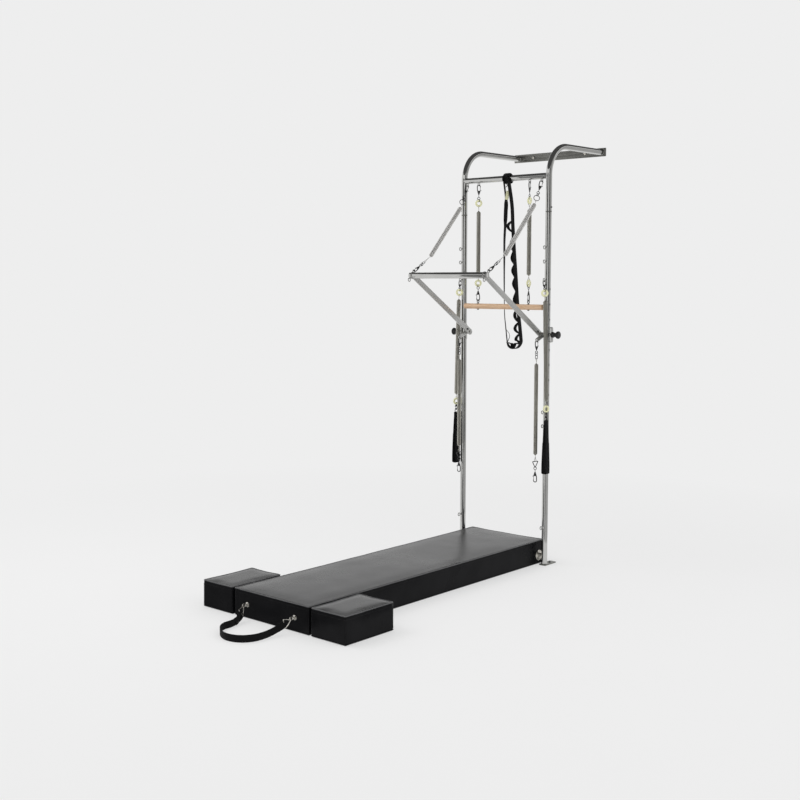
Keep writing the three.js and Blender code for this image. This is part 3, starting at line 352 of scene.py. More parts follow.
@dataclass(frozen=True)
class PlasticFinish:
    """Moulded plastic or a dipped coating with a faint orange-peel surface."""

    name: str
    colour: Triple
    shade: Triple
    roughness: Pair = (0.25, 0.4)

    def make(self) -> Material:
        """Builds the material."""
        recipe = Recipe(self.name)
        place = recipe.mapped()
        clouds = recipe.noise(place, 40, 4)
        recipe.put(
            Base_Color=recipe.blend(clouds, self.shade, self.colour),
            Roughness=recipe.spread(clouds, *self.roughness, 0.3, 0.7),
        )
        recipe.bump(recipe.noise(place, 700, 2), 0.08, 0.0003)
        return recipe.material


@dataclass(frozen=True)
class Finishes:
    """Every finish of the tower, made once."""

    tube: Material
    bright: Material
    zinc: Material
    dark: Material
    brushed: Material
    spring: Material
    gloss: Material
    vinyl: Material
    piping: Material
    webbing: Material
    thread: Material
    beech: Material
    plywood: Material
    plastic: Material
    yellow: Material

    @classmethod
    def mixed(cls) -> "Finishes":
        """Makes all the materials."""
        lift, wound = -radians(PLAN.arm_lift), (40, 40, 40)
        return cls(
            tube=MetalFinish("polished_tube", (0.62, 0.62, 0.605), (0.54, 0.54, 0.525), (0.06, 0.12)).make(),
            bright=MetalFinish("bright_steel", (0.80, 0.775, 0.72), (0.68, 0.655, 0.6), (0.2, 0.34)).make(),
            zinc=MetalFinish("hook_steel", (0.14, 0.14, 0.137), (0.07, 0.07, 0.07), (0.16, 0.3), (60, 60, 60)).make(),
            dark=MetalFinish("dark_steel", (0.29, 0.29, 0.272), (0.21, 0.21, 0.195), (0.3, 0.45), (4, 60, 60)).make(),
            brushed=MetalFinish(
                "brushed_arm", (0.70, 0.70, 0.685), (0.64, 0.64, 0.625), (0.4, 0.5), (90, 3, 190), (lift, 0, 0), 0.05
            ).make(),
            spring=MetalFinish("spring_wire", (0.66, 0.645, 0.585), (0.52, 0.505, 0.45), (0.3, 0.42), wound).make(),
            # The push springs' finish is partly real polish (lower roughness) and partly painted highlight: a lighter,
            # partly diffuse copy of the spring steel that makes them brighter.
            gloss=MetalFinish(
                "polished_spring", (0.93, 0.92, 0.9), (0.8, 0.79, 0.77), (0.14, 0.22), wound, metallic=0.75
            ).make(),
            vinyl=VinylFinish("black_vinyl").make(),
            # The upper welt's lighter, glossier vinyl is a painted highlight: the welt is the same black vinyl, drawn
            # lighter to stand in for the light along the top edge.
            piping=VinylFinish("piping_vinyl", (0.12, 0.12, 0.123), (0.15, 0.15, 0.154), gloss=0.8).make(),
            webbing=WebbingFinish("black_webbing").make(),
            thread=PlasticFinish("sewing_thread", (0.03, 0.03, 0.032), (0.016, 0.016, 0.017), (0.5, 0.7)).make(),
            beech=WoodFinish("varnished_beech", (0.80, 0.56, 0.37), (0.68, 0.44, 0.27)).make(),
            plywood=WoodFinish(
                "raw_plywood", (0.56, 0.38, 0.2), (0.4, 0.25, 0.12), (26, 2.4, 26), (0.6, 0.8), 0.0028
            ).make(),
            plastic=PlasticFinish("black_plastic", (0.012, 0.012, 0.012), (0.02, 0.02, 0.02)).make(),
            yellow=PlasticFinish("yellow_plastic", (0.93, 0.92, 0.62), (0.86, 0.85, 0.52), (0.35, 0.5)).make(),
        )


# Meshes


def circle(radius: float, sides: int, x: float = 0.0, y: float = 0.0) -> Outline:
    """The corners of a round section or hole."""
    turns = [2 * pi * i / sides for i in range(sides)]
    return [(x + radius * cos(t), y + radius * sin(t)) for t in turns]


def rounded_box(x: float, y: float, half_x: float, half_y: float, corner: float, steps: int) -> Outline:
    """The outline of a rectangle round a centre, its round corners cut into steps."""
    outline = []
    for k, (sx, sy) in enumerate(((1, 1), (-1, 1), (-1, -1), (1, -1))):
        centre = (x + sx * (half_x - corner), y + sy * (half_y - corner))
        for i in range(steps + 1):
            turn = radians(90 * k + 90 * i / steps)
            outline.append((centre[0] + corner * cos(turn), centre[1] + corner * sin(turn)))
    return outline


def band(width: float, thickness: float, round_share: float = 0.5) -> Outline:
    """The section of a flat strap with softened edges, its width along the first axis."""
    w, t = width / 2, thickness / 2
    r = t * round_share
    quarter = [(w, t - r), (w - r * 0.3, t - r * 0.3), (w - r, t)]
    top = [*quarter, *[(x, t) for x in (w / 2, 0, -w / 2)], *[(-x, z) for x, z in reversed(quarter)]]
    return [*top, *[(-x, -z) for x, z in top]]


def arc(
    centre: Point, radius: float, start: float, end: float, steps: int, first: Point, second: Point
) -> list[Vector]:
    """Points of an arc.

    Args:
        centre: The arc's centre.
        radius: Its radius.
        start: The first angle, in degrees from the first axis towards the second.
        end: The last angle.
        steps: How many stretches it has.
        first: The first axis.
        second: The second axis.

    Returns:
        The points in order.
    """
    made = []
    for i in range(steps + 1):
        turn = radians(start + (end - start) * i / steps)
        made.append(Vector(centre) + radius * (cos(turn) * Vector(first) + sin(turn) * Vector(second)))
    return made


def smooth_route(points: Sequence[Point], step: float, closed: bool = False) -> list[Vector]:
    """Carries a smooth curve through points and cuts it into even steps.

    Args:
        points: The points that the curve passes through.
        step: The wanted distance from point to point.
        closed: Whether the curve runs back to its start.

    Returns:
        The points of the smooth curve.
    """
    places = [Vector(p) for p in points]
    count = len(places)
    fine: list[Vector] = []
    for i in range(count if closed else count - 1):
        near = [places[(i + k) % count] if closed else places[min(max(i + k, 0), count - 1)] for k in (-1, 0, 1, 2)]
        for j in range(12):
            t = j / 12
            fine.append(
                0.5 * (
                    2 * near[1] + (near[2] - near[0]) * t
                    + (2 * near[0] - 5 * near[1] + 4 * near[2] - near[3]) * t * t
                    + (3 * near[1] - near[0] - 3 * near[2] + near[3]) * t ** 3
                )
            )
    if not closed:
        fine.append(places[-1])
    return even_route(fine, step, closed)


def between(value: float, stops: Sequence[Pair]) -> float:
    """Reads a level between stops that run from high places to low ones."""
    for (high, before), (low, after) in zip(stops, stops[1:]):
        if value >= low:
            share = min(1.0, max(0.0, (high - value) / (high - low)))
            return before + (after - before) * share * share * (3 - 2 * share)
    return stops[-1][1]


def even_route(points: Route, step: float, closed: bool = False) -> list[Vector]:
    """Cuts a route of straight stretches into even steps."""
    places = [*points, points[0]] if closed else list(points)
    lengths = [0.0]
    for a, b in zip(places, places[1:]):
        lengths.append(lengths[-1] + (b - a).length)
    count = max(2, round(lengths[-1] / step))
    made, at = [], 0
    for i in range(count if closed else count + 1):
        want = lengths[-1] * i / count
        while at < len(places) - 2 and lengths[at + 1] < want:
            at += 1
        share = (want - lengths[at]) / max(lengths[at + 1] - lengths[at], 1e-9)
        made.append(places[at].lerp(places[at + 1], min(max(share, 0), 1)))
    return made


class Form:
    """The corners and faces of one piece, gathered before they become a mesh."""

    def __init__(self) -> None:
        """Starts an empty form."""
        self.corners: list[Vector] = []
        self.faces: list[list[int]] = []
        self.marks: list[int] = []
        self.places: list[list[Pair]] = []

    def add(
        self, corners: Iterable[Point], faces: Iterable[Sequence[int]], mark: int = 0, places: list | None = None
    ) -> None:
        """Adds corners and faces.

        Args:
            corners: The new corners.
            faces: The new faces, numbered from the first new corner.
            mark: The number of their material.
            places: The pattern's place at each corner of each face.
        """
        start = len(self.corners)
        self.corners.extend(Vector(c) for c in corners)
        for i, face in enumerate(faces):
            self.faces.append([start + k for k in face])
            self.marks.append(mark)
            self.places.append(places[i] if places else [(0.0, 0.0)] * len(face))

    def sweep(
        self,
        route: Route,
        section: Outline,
        across: Route | Vector | None = None,
        closed: bool = False,
        mark: int = 0,
        sizes: Callable[[float], Pair] | None = None,
    ) -> None:
        """Carries a section along a route.

        Args:
            route: The points of the route.
            section: The section's corners.
            across: The way that the section's first axis faces, for the whole route or for each point.
            closed: Whether the route runs back to its start.
            mark: The number of the material.
            sizes: Gives the section's stretch in width and thickness for a share of the route.
        """
        count, sides = len(route), len(section)
        corners: list[Vector] = []
        side = None
        travelled = [0.0]
        for i in range(count):
            after = route[(i + 1) % count] if closed else route[min(i + 1, count - 1)]
            before = route[i - 1] if closed or i else route[0]
            ahead = (after - before).normalized()
            if isinstance(across, Vector):
                side = across
            elif across is not None:
                side = across[i]
            elif side is None:
                side = Z if abs(ahead.z) < 0.9 else X
            side = (side - ahead * side.dot(ahead)).normalized()
            third = ahead.cross(side)
            wide, thick = sizes(i / max(count - 1, 1)) if sizes else (1, 1)
            corners.extend(route[i] + side * (u * wide) + third * (v * thick) for u, v in section)
            if i:
                travelled.append(travelled[-1] + (route[i] - route[i - 1]).length)
        travelled.append(travelled[-1] + (route[0] - route[-1]).length)
        around = [0.0]
        for k in range(sides):
            a, b = section[k], section[(k + 1) % sides]
            around.append(around[-1] + math.hypot(b[0] - a[0], b[1] - a[1]))
        faces, places = [], []
        for i in range(count if closed else count - 1):
            j = (i + 1) % count
            for k in range(sides):
                m = (k + 1) % sides
                faces.append([i * sides + k, i * sides + m, j * sides + m, j * sides + k])
                low, high = travelled[i], travelled[i + 1]
                places.append([(around[k], low), (around[k + 1], low), (around[k + 1], high), (around[k], high)])
        if not closed:
            for i in (0, count - 1):
                faces.append([i * sides + k for k in range(sides)])
                places.append([(u, travelled[i] + v) for u, v in section])
        self.add(corners, faces, mark, places)

    def lathe(
        self, profile: Sequence[Pair], start: Point, way: Point, sides: int = 32, mark: int = 0, closed: bool = False
    ) -> None:
        """Turns a profile about an axis.

        Args:
            profile: Radius and distance along the axis, in order.
            start: Where the axis starts.
            way: The axis.
            sides: How many sides the round has.
            mark: The number of the material.
            closed: Whether the profile runs back to its start, as for a tube.
        """
        ahead = Vector(way).normalized()
        side = ahead.orthogonal().normalized()
        third = ahead.cross(side)
        corners: list[Vector] = []
        rings: list[list[int]] = []
        for radius, height in profile:
            centre = Vector(start) + ahead * height
            if radius < 1e-9:
                rings.append([len(corners)] * sides)
                corners.append(centre)
                continue
            rings.append(list(range(len(corners), len(corners) + sides)))
            corners.extend(centre + side * u + third * v for u, v in circle(radius, sides))
        pairs = list(zip(rings, rings[1:]))
        if closed:
            pairs.append((rings[-1], rings[0]))
        faces = []
        for a, b in pairs:
            for k in range(sides):
                m = (k + 1) % sides
                face = list(dict.fromkeys([a[k], a[m], b[m], b[k]]))
                if len(face) > 2:
                    faces.append(face)
        if not closed:
            faces.extend(ring for ring in (rings[0], rings[-1]) if len(set(ring)) > 2)
        self.add(corners, faces, mark)

    def bar(
        self, start: Point, end: Point, radius: float, edge: float = 0.0006, sides: int = 24, mark: int = 0
    ) -> None:
        """A round bar with softened ends."""
        way = Vector(end) - Vector(start)
        reach = way.length
        profile = [(0, 0), (radius - edge, 0), (radius - edge * 0.3, edge * 0.3), (radius, edge)]
        profile += [(r, reach - h) for r, h in reversed(profile)]
        self.lathe(profile, start, way, sides, mark)

    def tube(self, route: Route, radius: float, bore: float, sides: int = 48) -> None:
        """A hollow tube along a route, with its ends joined from wall to wall."""
        walls, last = (len(route) - 1) * sides, len(route) * sides
        for wall in (radius, bore):
            self.sweep(route, circle(wall, sides))
            del self.faces[-2:], self.marks[-2:], self.places[-2:]
        start = len(self.corners) - 2 * last
        for k in range(sides):
            m = (k + 1) % sides
            for end in (0, walls):
                self.faces.append([start + end + j for j in (k, m, last + m, last + k)])
                self.marks.append(0)
                self.places.append([(0.0, 0.0)] * 4)

    def ring(
        self, centre: Point, axis: Point, radius: float, wire: float, mark: int = 0, steps: int = 28,
        sides: int = 12, long: float = 0.0, along: Point | None = None,
    ) -> None:
        """A wire ring, or a long link.

        Args:
            centre: The ring's centre.
            axis: The way that its hole faces.
            radius: The radius to the middle of the wire.
            wire: The wire's radius.
            mark: The number of the material.
            steps: Steps round the ring.
            sides: Sides of the wire.
            long: How much longer than wide the link is.
            along: The way that a long link runs.
        """
        face = Vector(axis).normalized()
        first = Vector(along).normalized() if along is not None else face.orthogonal().normalized()
        second = face.cross(first)
        route = []
        for i in range(steps):
            turn = 2 * pi * i / steps
            shift = first * (math.copysign(long / 2, cos(turn)) if long else 0)
            spoke = first * (radius * cos(turn)) + second * (radius * sin(turn))
            route.append(Vector(centre) + spoke + shift)
        self.sweep(route, circle(wire, sides), across=face, closed=True, mark=mark)

    def block(self, low: Point, high: Point, edge: float) -> None:
        """A block with softened edges."""
        bm = bmesh.new()
        bmesh.ops.create_cube(bm, size=1)
        middle = (Vector(low) + Vector(high)) / 2
        sizes = Vector(high) - Vector(low)
        for vert in bm.verts:
            vert.co = Vector(c * s for c, s in zip(vert.co, sizes)) + middle
        bmesh.ops.bevel(bm, geom=bm.edges[:], offset=edge, segments=2, profile=0.6, affect="EDGES")
        bm.verts.index_update()
        self.add([v.co for v in bm.verts], [[v.index for v in f.verts] for f in bm.faces])
        bm.free()

    def plate(
        self, outline: Outline, holes: Sequence[Outline], thickness: float, edge: float, matrix: Matrix, mark: int = 0
    ) -> None:
        """A flat plate with holes, its outline in the XY plane of a matrix.

        Args:
            outline: The plate's outer corners.
            holes: The corners of each hole.
            thickness: The plate's thickness.
            edge: How much its edges are softened.
            matrix: Where the plate goes.
            mark: The number of the material.
        """
        flat = bpy.data.curves.new("plate", "CURVE")
        flat.dimensions = "2D"
        flat.fill_mode = "BOTH"
        flat.extrude = thickness / 2 - edge
        flat.bevel_depth = edge
        flat.offset = -edge
        flat.bevel_resolution = 1
        for corners in [outline, *holes]:
            spline = flat.splines.new("POLY")
            spline.points.add(len(corners) - 1)
            for point, (x, y) in zip(spline.points, corners):
                point.co = (x, y, 0, 1)
            spline.use_cyclic_u = True
        carrier = link("plate", flat)
        self.add_mesh(evaluated_mesh(carrier), matrix, mark)
        bpy.data.objects.remove(carrier)
        bpy.data.curves.remove(flat)

    def add_mesh(self, mesh: Mesh, matrix: Matrix = Matrix.Identity(4), mark: int = 0) -> None:
        """Adds a finished mesh at a place and frees it."""
        corners = [matrix @ v.co for v in mesh.vertices]
        self.add(corners, [list(p.vertices) for p in mesh.polygons], mark)
        bpy.data.meshes.remove(mesh)

    def build(self, name: str, materials: Sequence[Material], smooth: bool = True) -> Piece:
        """Turns the form into an object.

        Args:
            name: The piece's name.
            materials: Its materials, in the order of the marks.
            smooth: Whether its faces are shaded smooth up to a sharp edge.

        Returns:
            The object, linked into the scene.
        """
        mesh = bpy.data.meshes.new(name)
        mesh.from_pydata(self.corners, [], self.faces)
        layer = mesh.uv_layers.new(name="UVMap")
        flat = [value for face in self.places for place in face for value in place]
        layer.data.foreach_set("uv", flat)
        mesh.polygons.foreach_set("material_index", self.marks)
        bm = bmesh.new()
        bm.from_mesh(mesh)
        bmesh.ops.remove_doubles(bm, verts=bm.verts, dist=2e-6)
        bmesh.ops.recalc_face_normals(bm, faces=bm.faces)
        bm.to_mesh(mesh)
        bm.free()
        for material in materials:
            mesh.materials.append(material)
        if smooth:
            smooth_faces(mesh)
        return link(name, mesh)

    def fit(self, name: str, materials: Sequence[Material], body: str, slot: Slot, *nodes: str) -> Piece:
        """Builds the form and puts it on its body."""
        return fit(self.build(name, materials), body, slot, *nodes)


def link(name: str, data: object) -> Piece:
    """Makes an object of some data and links it into the scene."""
    made = bpy.data.objects.new(name, data)
    bpy.context.scene.collection.objects.link(made)
    return made


def smooth_faces(mesh: Mesh, angle: float = SMOOTH_ANGLE) -> None:
    """Shades a mesh smooth, but for its sharp edges."""
    mesh.shade_smooth()
    mesh.set_sharp_from_angle(angle=angle)


def evaluated_mesh(piece: Piece) -> Mesh:
    """The mesh of an object with its modifiers applied."""
    graph = bpy.context.evaluated_depsgraph_get()
    return bpy.data.meshes.new_from_object(piece.evaluated_get(graph))


def settle(piece: Piece) -> Piece:
    """Applies all modifiers of a piece to its mesh."""
    mesh = evaluated_mesh(piece)
    before = piece.data
    piece.modifiers.clear()
    piece.data = mesh
    mesh.name = piece.name
    bpy.data.meshes.remove(before)
    return piece


def fit(piece: Piece, body: str, slot: Slot, *nodes: str) -> Piece:
    """Puts a finished piece on its body.

    Args:
        piece: The piece.
        body: The body that carries it.
        slot: The record's slot that its finish comes from; not used.
        nodes: The nodes that it stands for.

    Returns:
        The same piece.
    """
    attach(piece, body)
    if nodes:
        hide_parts(*nodes)
    LOG.info("%s: %d faces on %s", piece.name, len(piece.data.polygons), body)
    return piece


def dress_node(name: str, material: Material) -> None:
    """Gives a carried-over node a finer material."""
    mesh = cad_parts[name].data
    if not mesh.materials:
        mesh.materials.append(material)
    for i in range(len(mesh.materials)):
        mesh.materials[i] = material
    LOG.info("%s keeps its shape", name)


# Node trees for what repeats


class Pattern(Nodes):
    """A node tree that makes repeated or wound forms, with named inputs."""

    def __init__(self, name: str, **inputs: str) -> None:
        """Starts a tree of that name, with inputs of the given kinds."""
        super().__init__(bpy.data.node_groups.new(name, "GeometryNodeTree"))
        self.sockets: dict[str, str] = {}
        for label, kind in {"Geometry": "Geometry", **inputs}.items():
            made = self.tree.interface.new_socket(label, in_out="INPUT", socket_type=f"NodeSocket{kind}")
            self.sockets[label] = made.identifier
        self.tree.interface.new_socket("Geometry", in_out="OUTPUT", socket_type="NodeSocketGeometry")
        self.given = self.node("NodeGroupInput").outputs
        self.end = self.node("NodeGroupOutput")

    def xyz(self, **parts: object) -> Socket:
        """A vector from its parts."""
        return self.node("ShaderNodeCombineXYZ", parts).outputs["Vector"]

    def close(self, geometry: Socket) -> None:
        """Ends the tree in realized geometry with its material."""
        for kind in ("SetShadeSmooth", "RealizeInstances", "SetMaterial"):
            inputs = {"Material": self.given["Material"]} if kind == "SetMaterial" else {}
            geometry = self.node(f"GeometryNode{kind}", {"Geometry": geometry, **inputs}).outputs["Geometry"]
        self.tree.links.new(geometry, self.end.inputs["Geometry"])

    def run(self, base: Mesh, **values: object) -> Mesh:
        """Runs the tree over a base mesh.

        Args:
            base: The mesh that the tree starts from. It is freed.
            values: The inputs by name.

        Returns:
            The plain mesh that came out.
        """
        carrier = link("carrier", base)
        modifier = carrier.modifiers.new("pattern", "NODES")
        modifier.node_group = self.tree
        for label, value in values.items():
            modifier[self.sockets[label]] = value
        made = evaluated_mesh(carrier)
        bpy.data.objects.remove(carrier)
        bpy.data.meshes.remove(base)
        return made


class CoilPattern(Pattern):
    """A close-wound spring along +Z whose last turns narrow to the hook."""

    steps = 14
    wire_sides = 6

    def __init__(self) -> None:
        """Builds the tree."""
        sizes = dict.fromkeys(("Turns", "Radius", "Length", "Wire", "Narrow", "End"), "Float")
        super().__init__("wound_spring", **sizes, Material="Material")
        given = self.given
        spiral = self.node("GeometryNodeCurveSpiral", {
            "Resolution": self.steps, "Rotations": given["Turns"], "Start Radius": given["Radius"],
            "End Radius": given["Radius"], "Height": given["Length"], "Reverse": False,
        })
        share = self.node("GeometryNodeSplineParameter").outputs["Factor"]
        nearest = self.math("MINIMUM", share, self.math("SUBTRACT", 1.0, share))
        inputs = {"Value": nearest, "From Min": 0.0, "From Max": given["End"], "To Min": given["Narrow"], "To Max": 1.0}
        width = self.node("ShaderNodeMapRange", inputs, interpolation_type="SMOOTHERSTEP").outputs["Result"]
        position = self.node("GeometryNodeInputPosition").outputs["Position"]
        split = self.node("ShaderNodeSeparateXYZ", {"Vector": position}).outputs
        x, y = (self.math("MULTIPLY", split[axis], width) for axis in "XY")
        place = self.xyz(X=x, Y=y, Z=split["Z"])
        moved = self.node("GeometryNodeSetPosition", {"Geometry": spiral.outputs["Curve"], "Position": place})
        inputs = {"Resolution": self.wire_sides, "Radius": given["Wire"]}
        wire = self.node("GeometryNodeCurvePrimitiveCircle", inputs, mode="RADIUS")
        inputs = {"Curve": moved.outputs["Geometry"], "Profile Curve": wire.outputs["Curve"], "Fill Caps": True}
        self.close(self.node("GeometryNodeCurveToMesh", inputs).outputs["Mesh"])


class StitchPattern(Pattern):
    """Even stitches along the edges of a base mesh."""

    def __init__(self) -> None:
        """Builds the tree."""
        super().__init__("stitch_row", Pitch="Float", Stitch="Float", Thread="Float", Material="Material")
        given = self.given
        path = self.node("GeometryNodeMeshToCurve", {"Mesh": given["Geometry"]})
        inputs = {"Curve": path.outputs["Curve"], "Length": given["Pitch"]}
        points = self.node("GeometryNodeCurveToPoints", inputs, mode="LENGTH")
        ball = self.node("GeometryNodeMeshUVSphere", {"Segments": 6, "Rings": 4, "Radius": 1.0})
        turn = self.node("FunctionNodeAlignRotationToVector", {"Vector": points.outputs["Tangent"]}, axis="Z")
        size = self.xyz(X=given["Thread"], Y=given["Thread"], Z=self.times(given["Stitch"], 0.5))
        placed = self.node("GeometryNodeInstanceOnPoints", {
            "Points": points.outputs["Points"], "Instance": ball.outputs["Mesh"],
            "Rotation": turn.outputs["Rotation"], "Scale": size,
        })
        self.close(placed.outputs["Instances"])


class ScrewPattern(Pattern):
    """Button-head screws with a hexagon recess, one on each point of a base mesh."""

    rim_share = 0.72
    recess_share = 0.36
    floor_share = 0.45

    def __init__(self) -> None:
        """Builds the tree."""
        super().__init__("screw_heads", Facing="Vector", Head="Float", Height="Float", Material="Material")
        given = self.given
        points = self.node("GeometryNodeMeshToPoints", {"Mesh": given["Geometry"]})
        recess = self.times(given["Head"], self.recess_share)
        inputs = {
            "Vertices": 24, "Side Segments": 1, "Fill Segments": 1, "Depth": given["Height"],
            "Radius Top": self.times(given["Head"], self.rim_share), "Radius Bottom": given["Head"],
        }
        head = self.node("GeometryNodeMeshCone", inputs, fill_type="NGON").outputs["Mesh"]
        inputs = {"Vertices": 6, "Radius Top": recess, "Radius Bottom": recess, "Depth": given["Height"]}
        socket = self.node("GeometryNodeMeshCone", inputs, fill_type="NGON").outputs["Mesh"]
        lift = self.xyz(Z=self.times(given["Height"], self.floor_share))
        raised = self.node("GeometryNodeTransform", {"Geometry": socket, "Translation": lift}).outputs["Geometry"]
        cut = self.node("GeometryNodeMeshBoolean", {"Mesh 1": head, "Mesh 2": raised}, operation="DIFFERENCE")
        turn = self.node("FunctionNodeAlignRotationToVector", {"Vector": given["Facing"]}, axis="Z")
        placed = self.node("GeometryNodeInstanceOnPoints", {
            "Points": points.outputs["Points"], "Instance": cut.outputs["Mesh"], "Rotation": turn.outputs["Rotation"],
        })
        self.close(placed.outputs["Instances"])


def route_mesh(routes: Sequence[Route], closed: bool = False) -> Mesh:
    """A base mesh of bare edges along routes, or of bare corners for routes of one point."""
    corners: list[Vector] = []
    edges: list[tuple[int, int]] = []
    for route in routes:
        start = len(corners)
        corners.extend(route)
        count = len(route)
        edges.extend((start + i, start + (i + 1) % count) for i in range(count if closed and count > 1 else count - 1))
    mesh = bpy.data.meshes.new("base")
    mesh.from_pydata(corners, edges, [])
    return mesh


@dataclass
class Workshop:
    """The finishes and node trees that every sub-assembly uses."""

    finishes: Finishes
    coil: CoilPattern
    stitch: StitchPattern
    screw: ScrewPattern

    def stitches(
        self, name: str, routes: Sequence[Route], body: str, slot: Slot = Slot.VINYL,
        closed: bool = False, pitch: float = 0.0055, thread: float = 0.00045,
    ) -> Piece:
        """Sews rows of stitches along routes and puts them on a body."""
        base, material = route_mesh(routes, closed), self.finishes.thread
        mesh = self.stitch.run(base, Pitch=pitch, Stitch=pitch * 0.66, Thread=thread, Material=material)
        return fit(link(name, mesh), body, slot)

    def screws(
        self, name: str, points: Sequence[Point], facing: Point, head: float, height: float, body: str,
        finish: Material | None = None,
    ) -> Piece:
        """Sets screw heads on points, facing one way, and puts them on a body."""
        base, material = route_mesh([[Vector(p)] for p in points]), finish or self.finishes.zinc
        mesh = self.screw.run(base, Facing=tuple(facing), Head=head, Height=height, Material=material)
        smooth_faces(mesh)
        return fit(link(name, mesh), body, Slot.BRIGHT)


# Upholstery


@dataclass
class Cushion:
    """An upholstered block: a stuffed cover with welts, corner seams and stitches."""

    node: str
    body: str
    centre: Pair
    width: float
    length: float
    voxel: float
    panel: float = 0.008
    height: float = 0.14
    edge: float = 0.006
    shrink: float = 0.0004
    swell: float = 0.005
    side_swell: float = 0.0015
    tuck: float = 0.0016
    board_inset: float = 0.022
    board_thickness: float = 0.0123
    tube_way: Triple | None = None
    welt: float = 0.0028
    floor_band: float = 0.004
    pinned_band: float = 0.006
    pressure: float = 4
    stiffness: float = 30
    cloth_frames: int = 20
    even_rounds: int = 8
    neighbours: int = 8
    pucker: Pair = (38, 0.0006)
    ripple: Pair = (9, 0.0009)
    pucker_fade: Pair = (0.02, 0.018)
    seam_rings: int = 14
    seam_start: float = 0.012
    seam_step: float = 0.0085

    def steps(self, half: float) -> list[float]:
        """Places across one panel: even on the flat and close round its edges."""
        flat = half - self.edge
        bend = [self.edge * math.tan(radians(15 * i)) for i in (1, 2, 3)]
        count = max(2, round(2 * flat / self.panel))
        even = [flat * (2 * i / count - 1) for i in range(count + 1)]
        return [*[-flat - b for b in reversed(bend)], *even, *[flat + b for b in bend]]

    def cover(self) -> Piece:
        """The cover as even panels that meet in round edges."""
        half = (self.width / 2 - self.shrink, self.length / 2 - self.shrink, (self.height - self.shrink) / 2)
        middle = Vector((*self.centre, half[2]))
        form = Form()
        for axis in range(3):
            first, second = (axis + 1) % 3, (axis + 2) % 3
            rows, columns = self.steps(half[first]), self.steps(half[second])
            for end in (-1, 1):
                corners = []
                for a in rows:
                    for b in columns:
                        place = Vector((0, 0, 0))
                        place[axis], place[first], place[second] = end * half[axis], a, b
                        core = Vector([min(max(c, self.edge - h), h - self.edge) for c, h in zip(place, half)])
                        corners.append(middle + core + (place - core).normalized() * self.edge)
                wide = len(columns)
                faces = [
                    [i * wide + j, i * wide + j + 1, (i + 1) * wide + j + 1, (i + 1) * wide + j]
                    for i in range(len(rows) - 1) for j in range(wide - 1)
                ]
                form.add(corners, faces)
        return form.build(self.node.replace("cushion", "cover"), [])

    def stuffing(self, cover: Piece) -> Piece:
        """A copy of the cover on an even grid, for the simulation."""
        piece = link("stuffing", cover.data.copy())
        remesh = piece.modifiers.new("grid", "REMESH")
        remesh.mode = "VOXEL"
        remesh.voxel_size = self.voxel
        return settle(piece)

    def inflate(self, cover: Piece) -> None:
        """Lets the stuffing swell and carries its swell over to the cover."""
        stuffing = self.stuffing(cover)
        rest = [v.co.copy() for v in stuffing.data.vertices]
        moves = [self.held(before, after - before) for before, after in zip(rest, self.swollen(stuffing))]
        joins = [tuple(edge.vertices) for edge in stuffing.data.edges]
        for _ in range(self.even_rounds):
            sums, counts = [move.copy() for move in moves], [1] * len(moves)
            for a, b in joins:
                sums[a] += moves[b]
                sums[b] += moves[a]
                counts[a] += 1
                counts[b] += 1
            moves = [total / count for total, count in zip(sums, counts)]
        bpy.data.objects.remove(stuffing)
        tree = KDTree(len(rest))
        for i, place in enumerate(rest):
            tree.insert(place, i)
        tree.balance()
        for vert in cover.data.vertices:
            total, move = 0.0, Vector((0, 0, 0))
            for _, i, distance in tree.find_n(vert.co, self.neighbours):
                weight = 1 / (distance + self.voxel / 3) ** 2
                total += weight
                move += moves[i] * weight
            vert.co += move / total

    def swollen(self, piece: Piece) -> list[Vector]:
        """Runs a cloth simulation with pressure inside and gives the corners' new places."""
        pinned = piece.vertex_groups.new(name="base")
        pinned.add([v.index for v in piece.data.vertices if v.co.z < self.pinned_band], 1.0, "REPLACE")
        cloth = piece.modifiers.new("cover", "CLOTH").settings
        cloth.quality = 4
        cloth.use_pressure = True
        cloth.uniform_pressure_force = self.pressure
        cloth.effector_weights.gravity = 0
        cloth.tension_stiffness = cloth.compression_stiffness = self.stiffness
        cloth.shear_stiffness = self.stiffness * 2 / 3
        cloth.vertex_group_mass = pinned.name
        scene = bpy.context.scene
        for step in range(1, self.cloth_frames + 1):
            scene.frame_set(step)
        mesh = evaluated_mesh(piece)
        moved = [v.co.copy() for v in mesh.vertices]
        bpy.data.meshes.remove(mesh)
        scene.frame_set(1)
        return moved

    def held(self, place: Vector, move: Vector) -> Vector:
        """Holds a move back: more on the sides than on top, and all of it at the floor."""
        rise = min(max(place.z / self.height, 0), 1)
        cap = self.side_swell + (self.swell - self.side_swell) * max(0.0, 2 * rise - 1)
        reach = move.length
        if reach < 1e-9 or place.z < self.floor_band:
            return Vector((0, 0, 0))
        u, v = self.share(place)
        corner = min(1.0, abs(u * v)) ** 4
        return move * (cap * math.tanh(reach / cap) / reach * (1 - 0.9 * corner))

    def share(self, place: Vector) -> Pair:
        """How far out a place lies across and along, from -1 to 1."""
        return (place.x - self.centre[0]) / (self.width / 2), (place.y - self.centre[1]) / (self.length / 2)

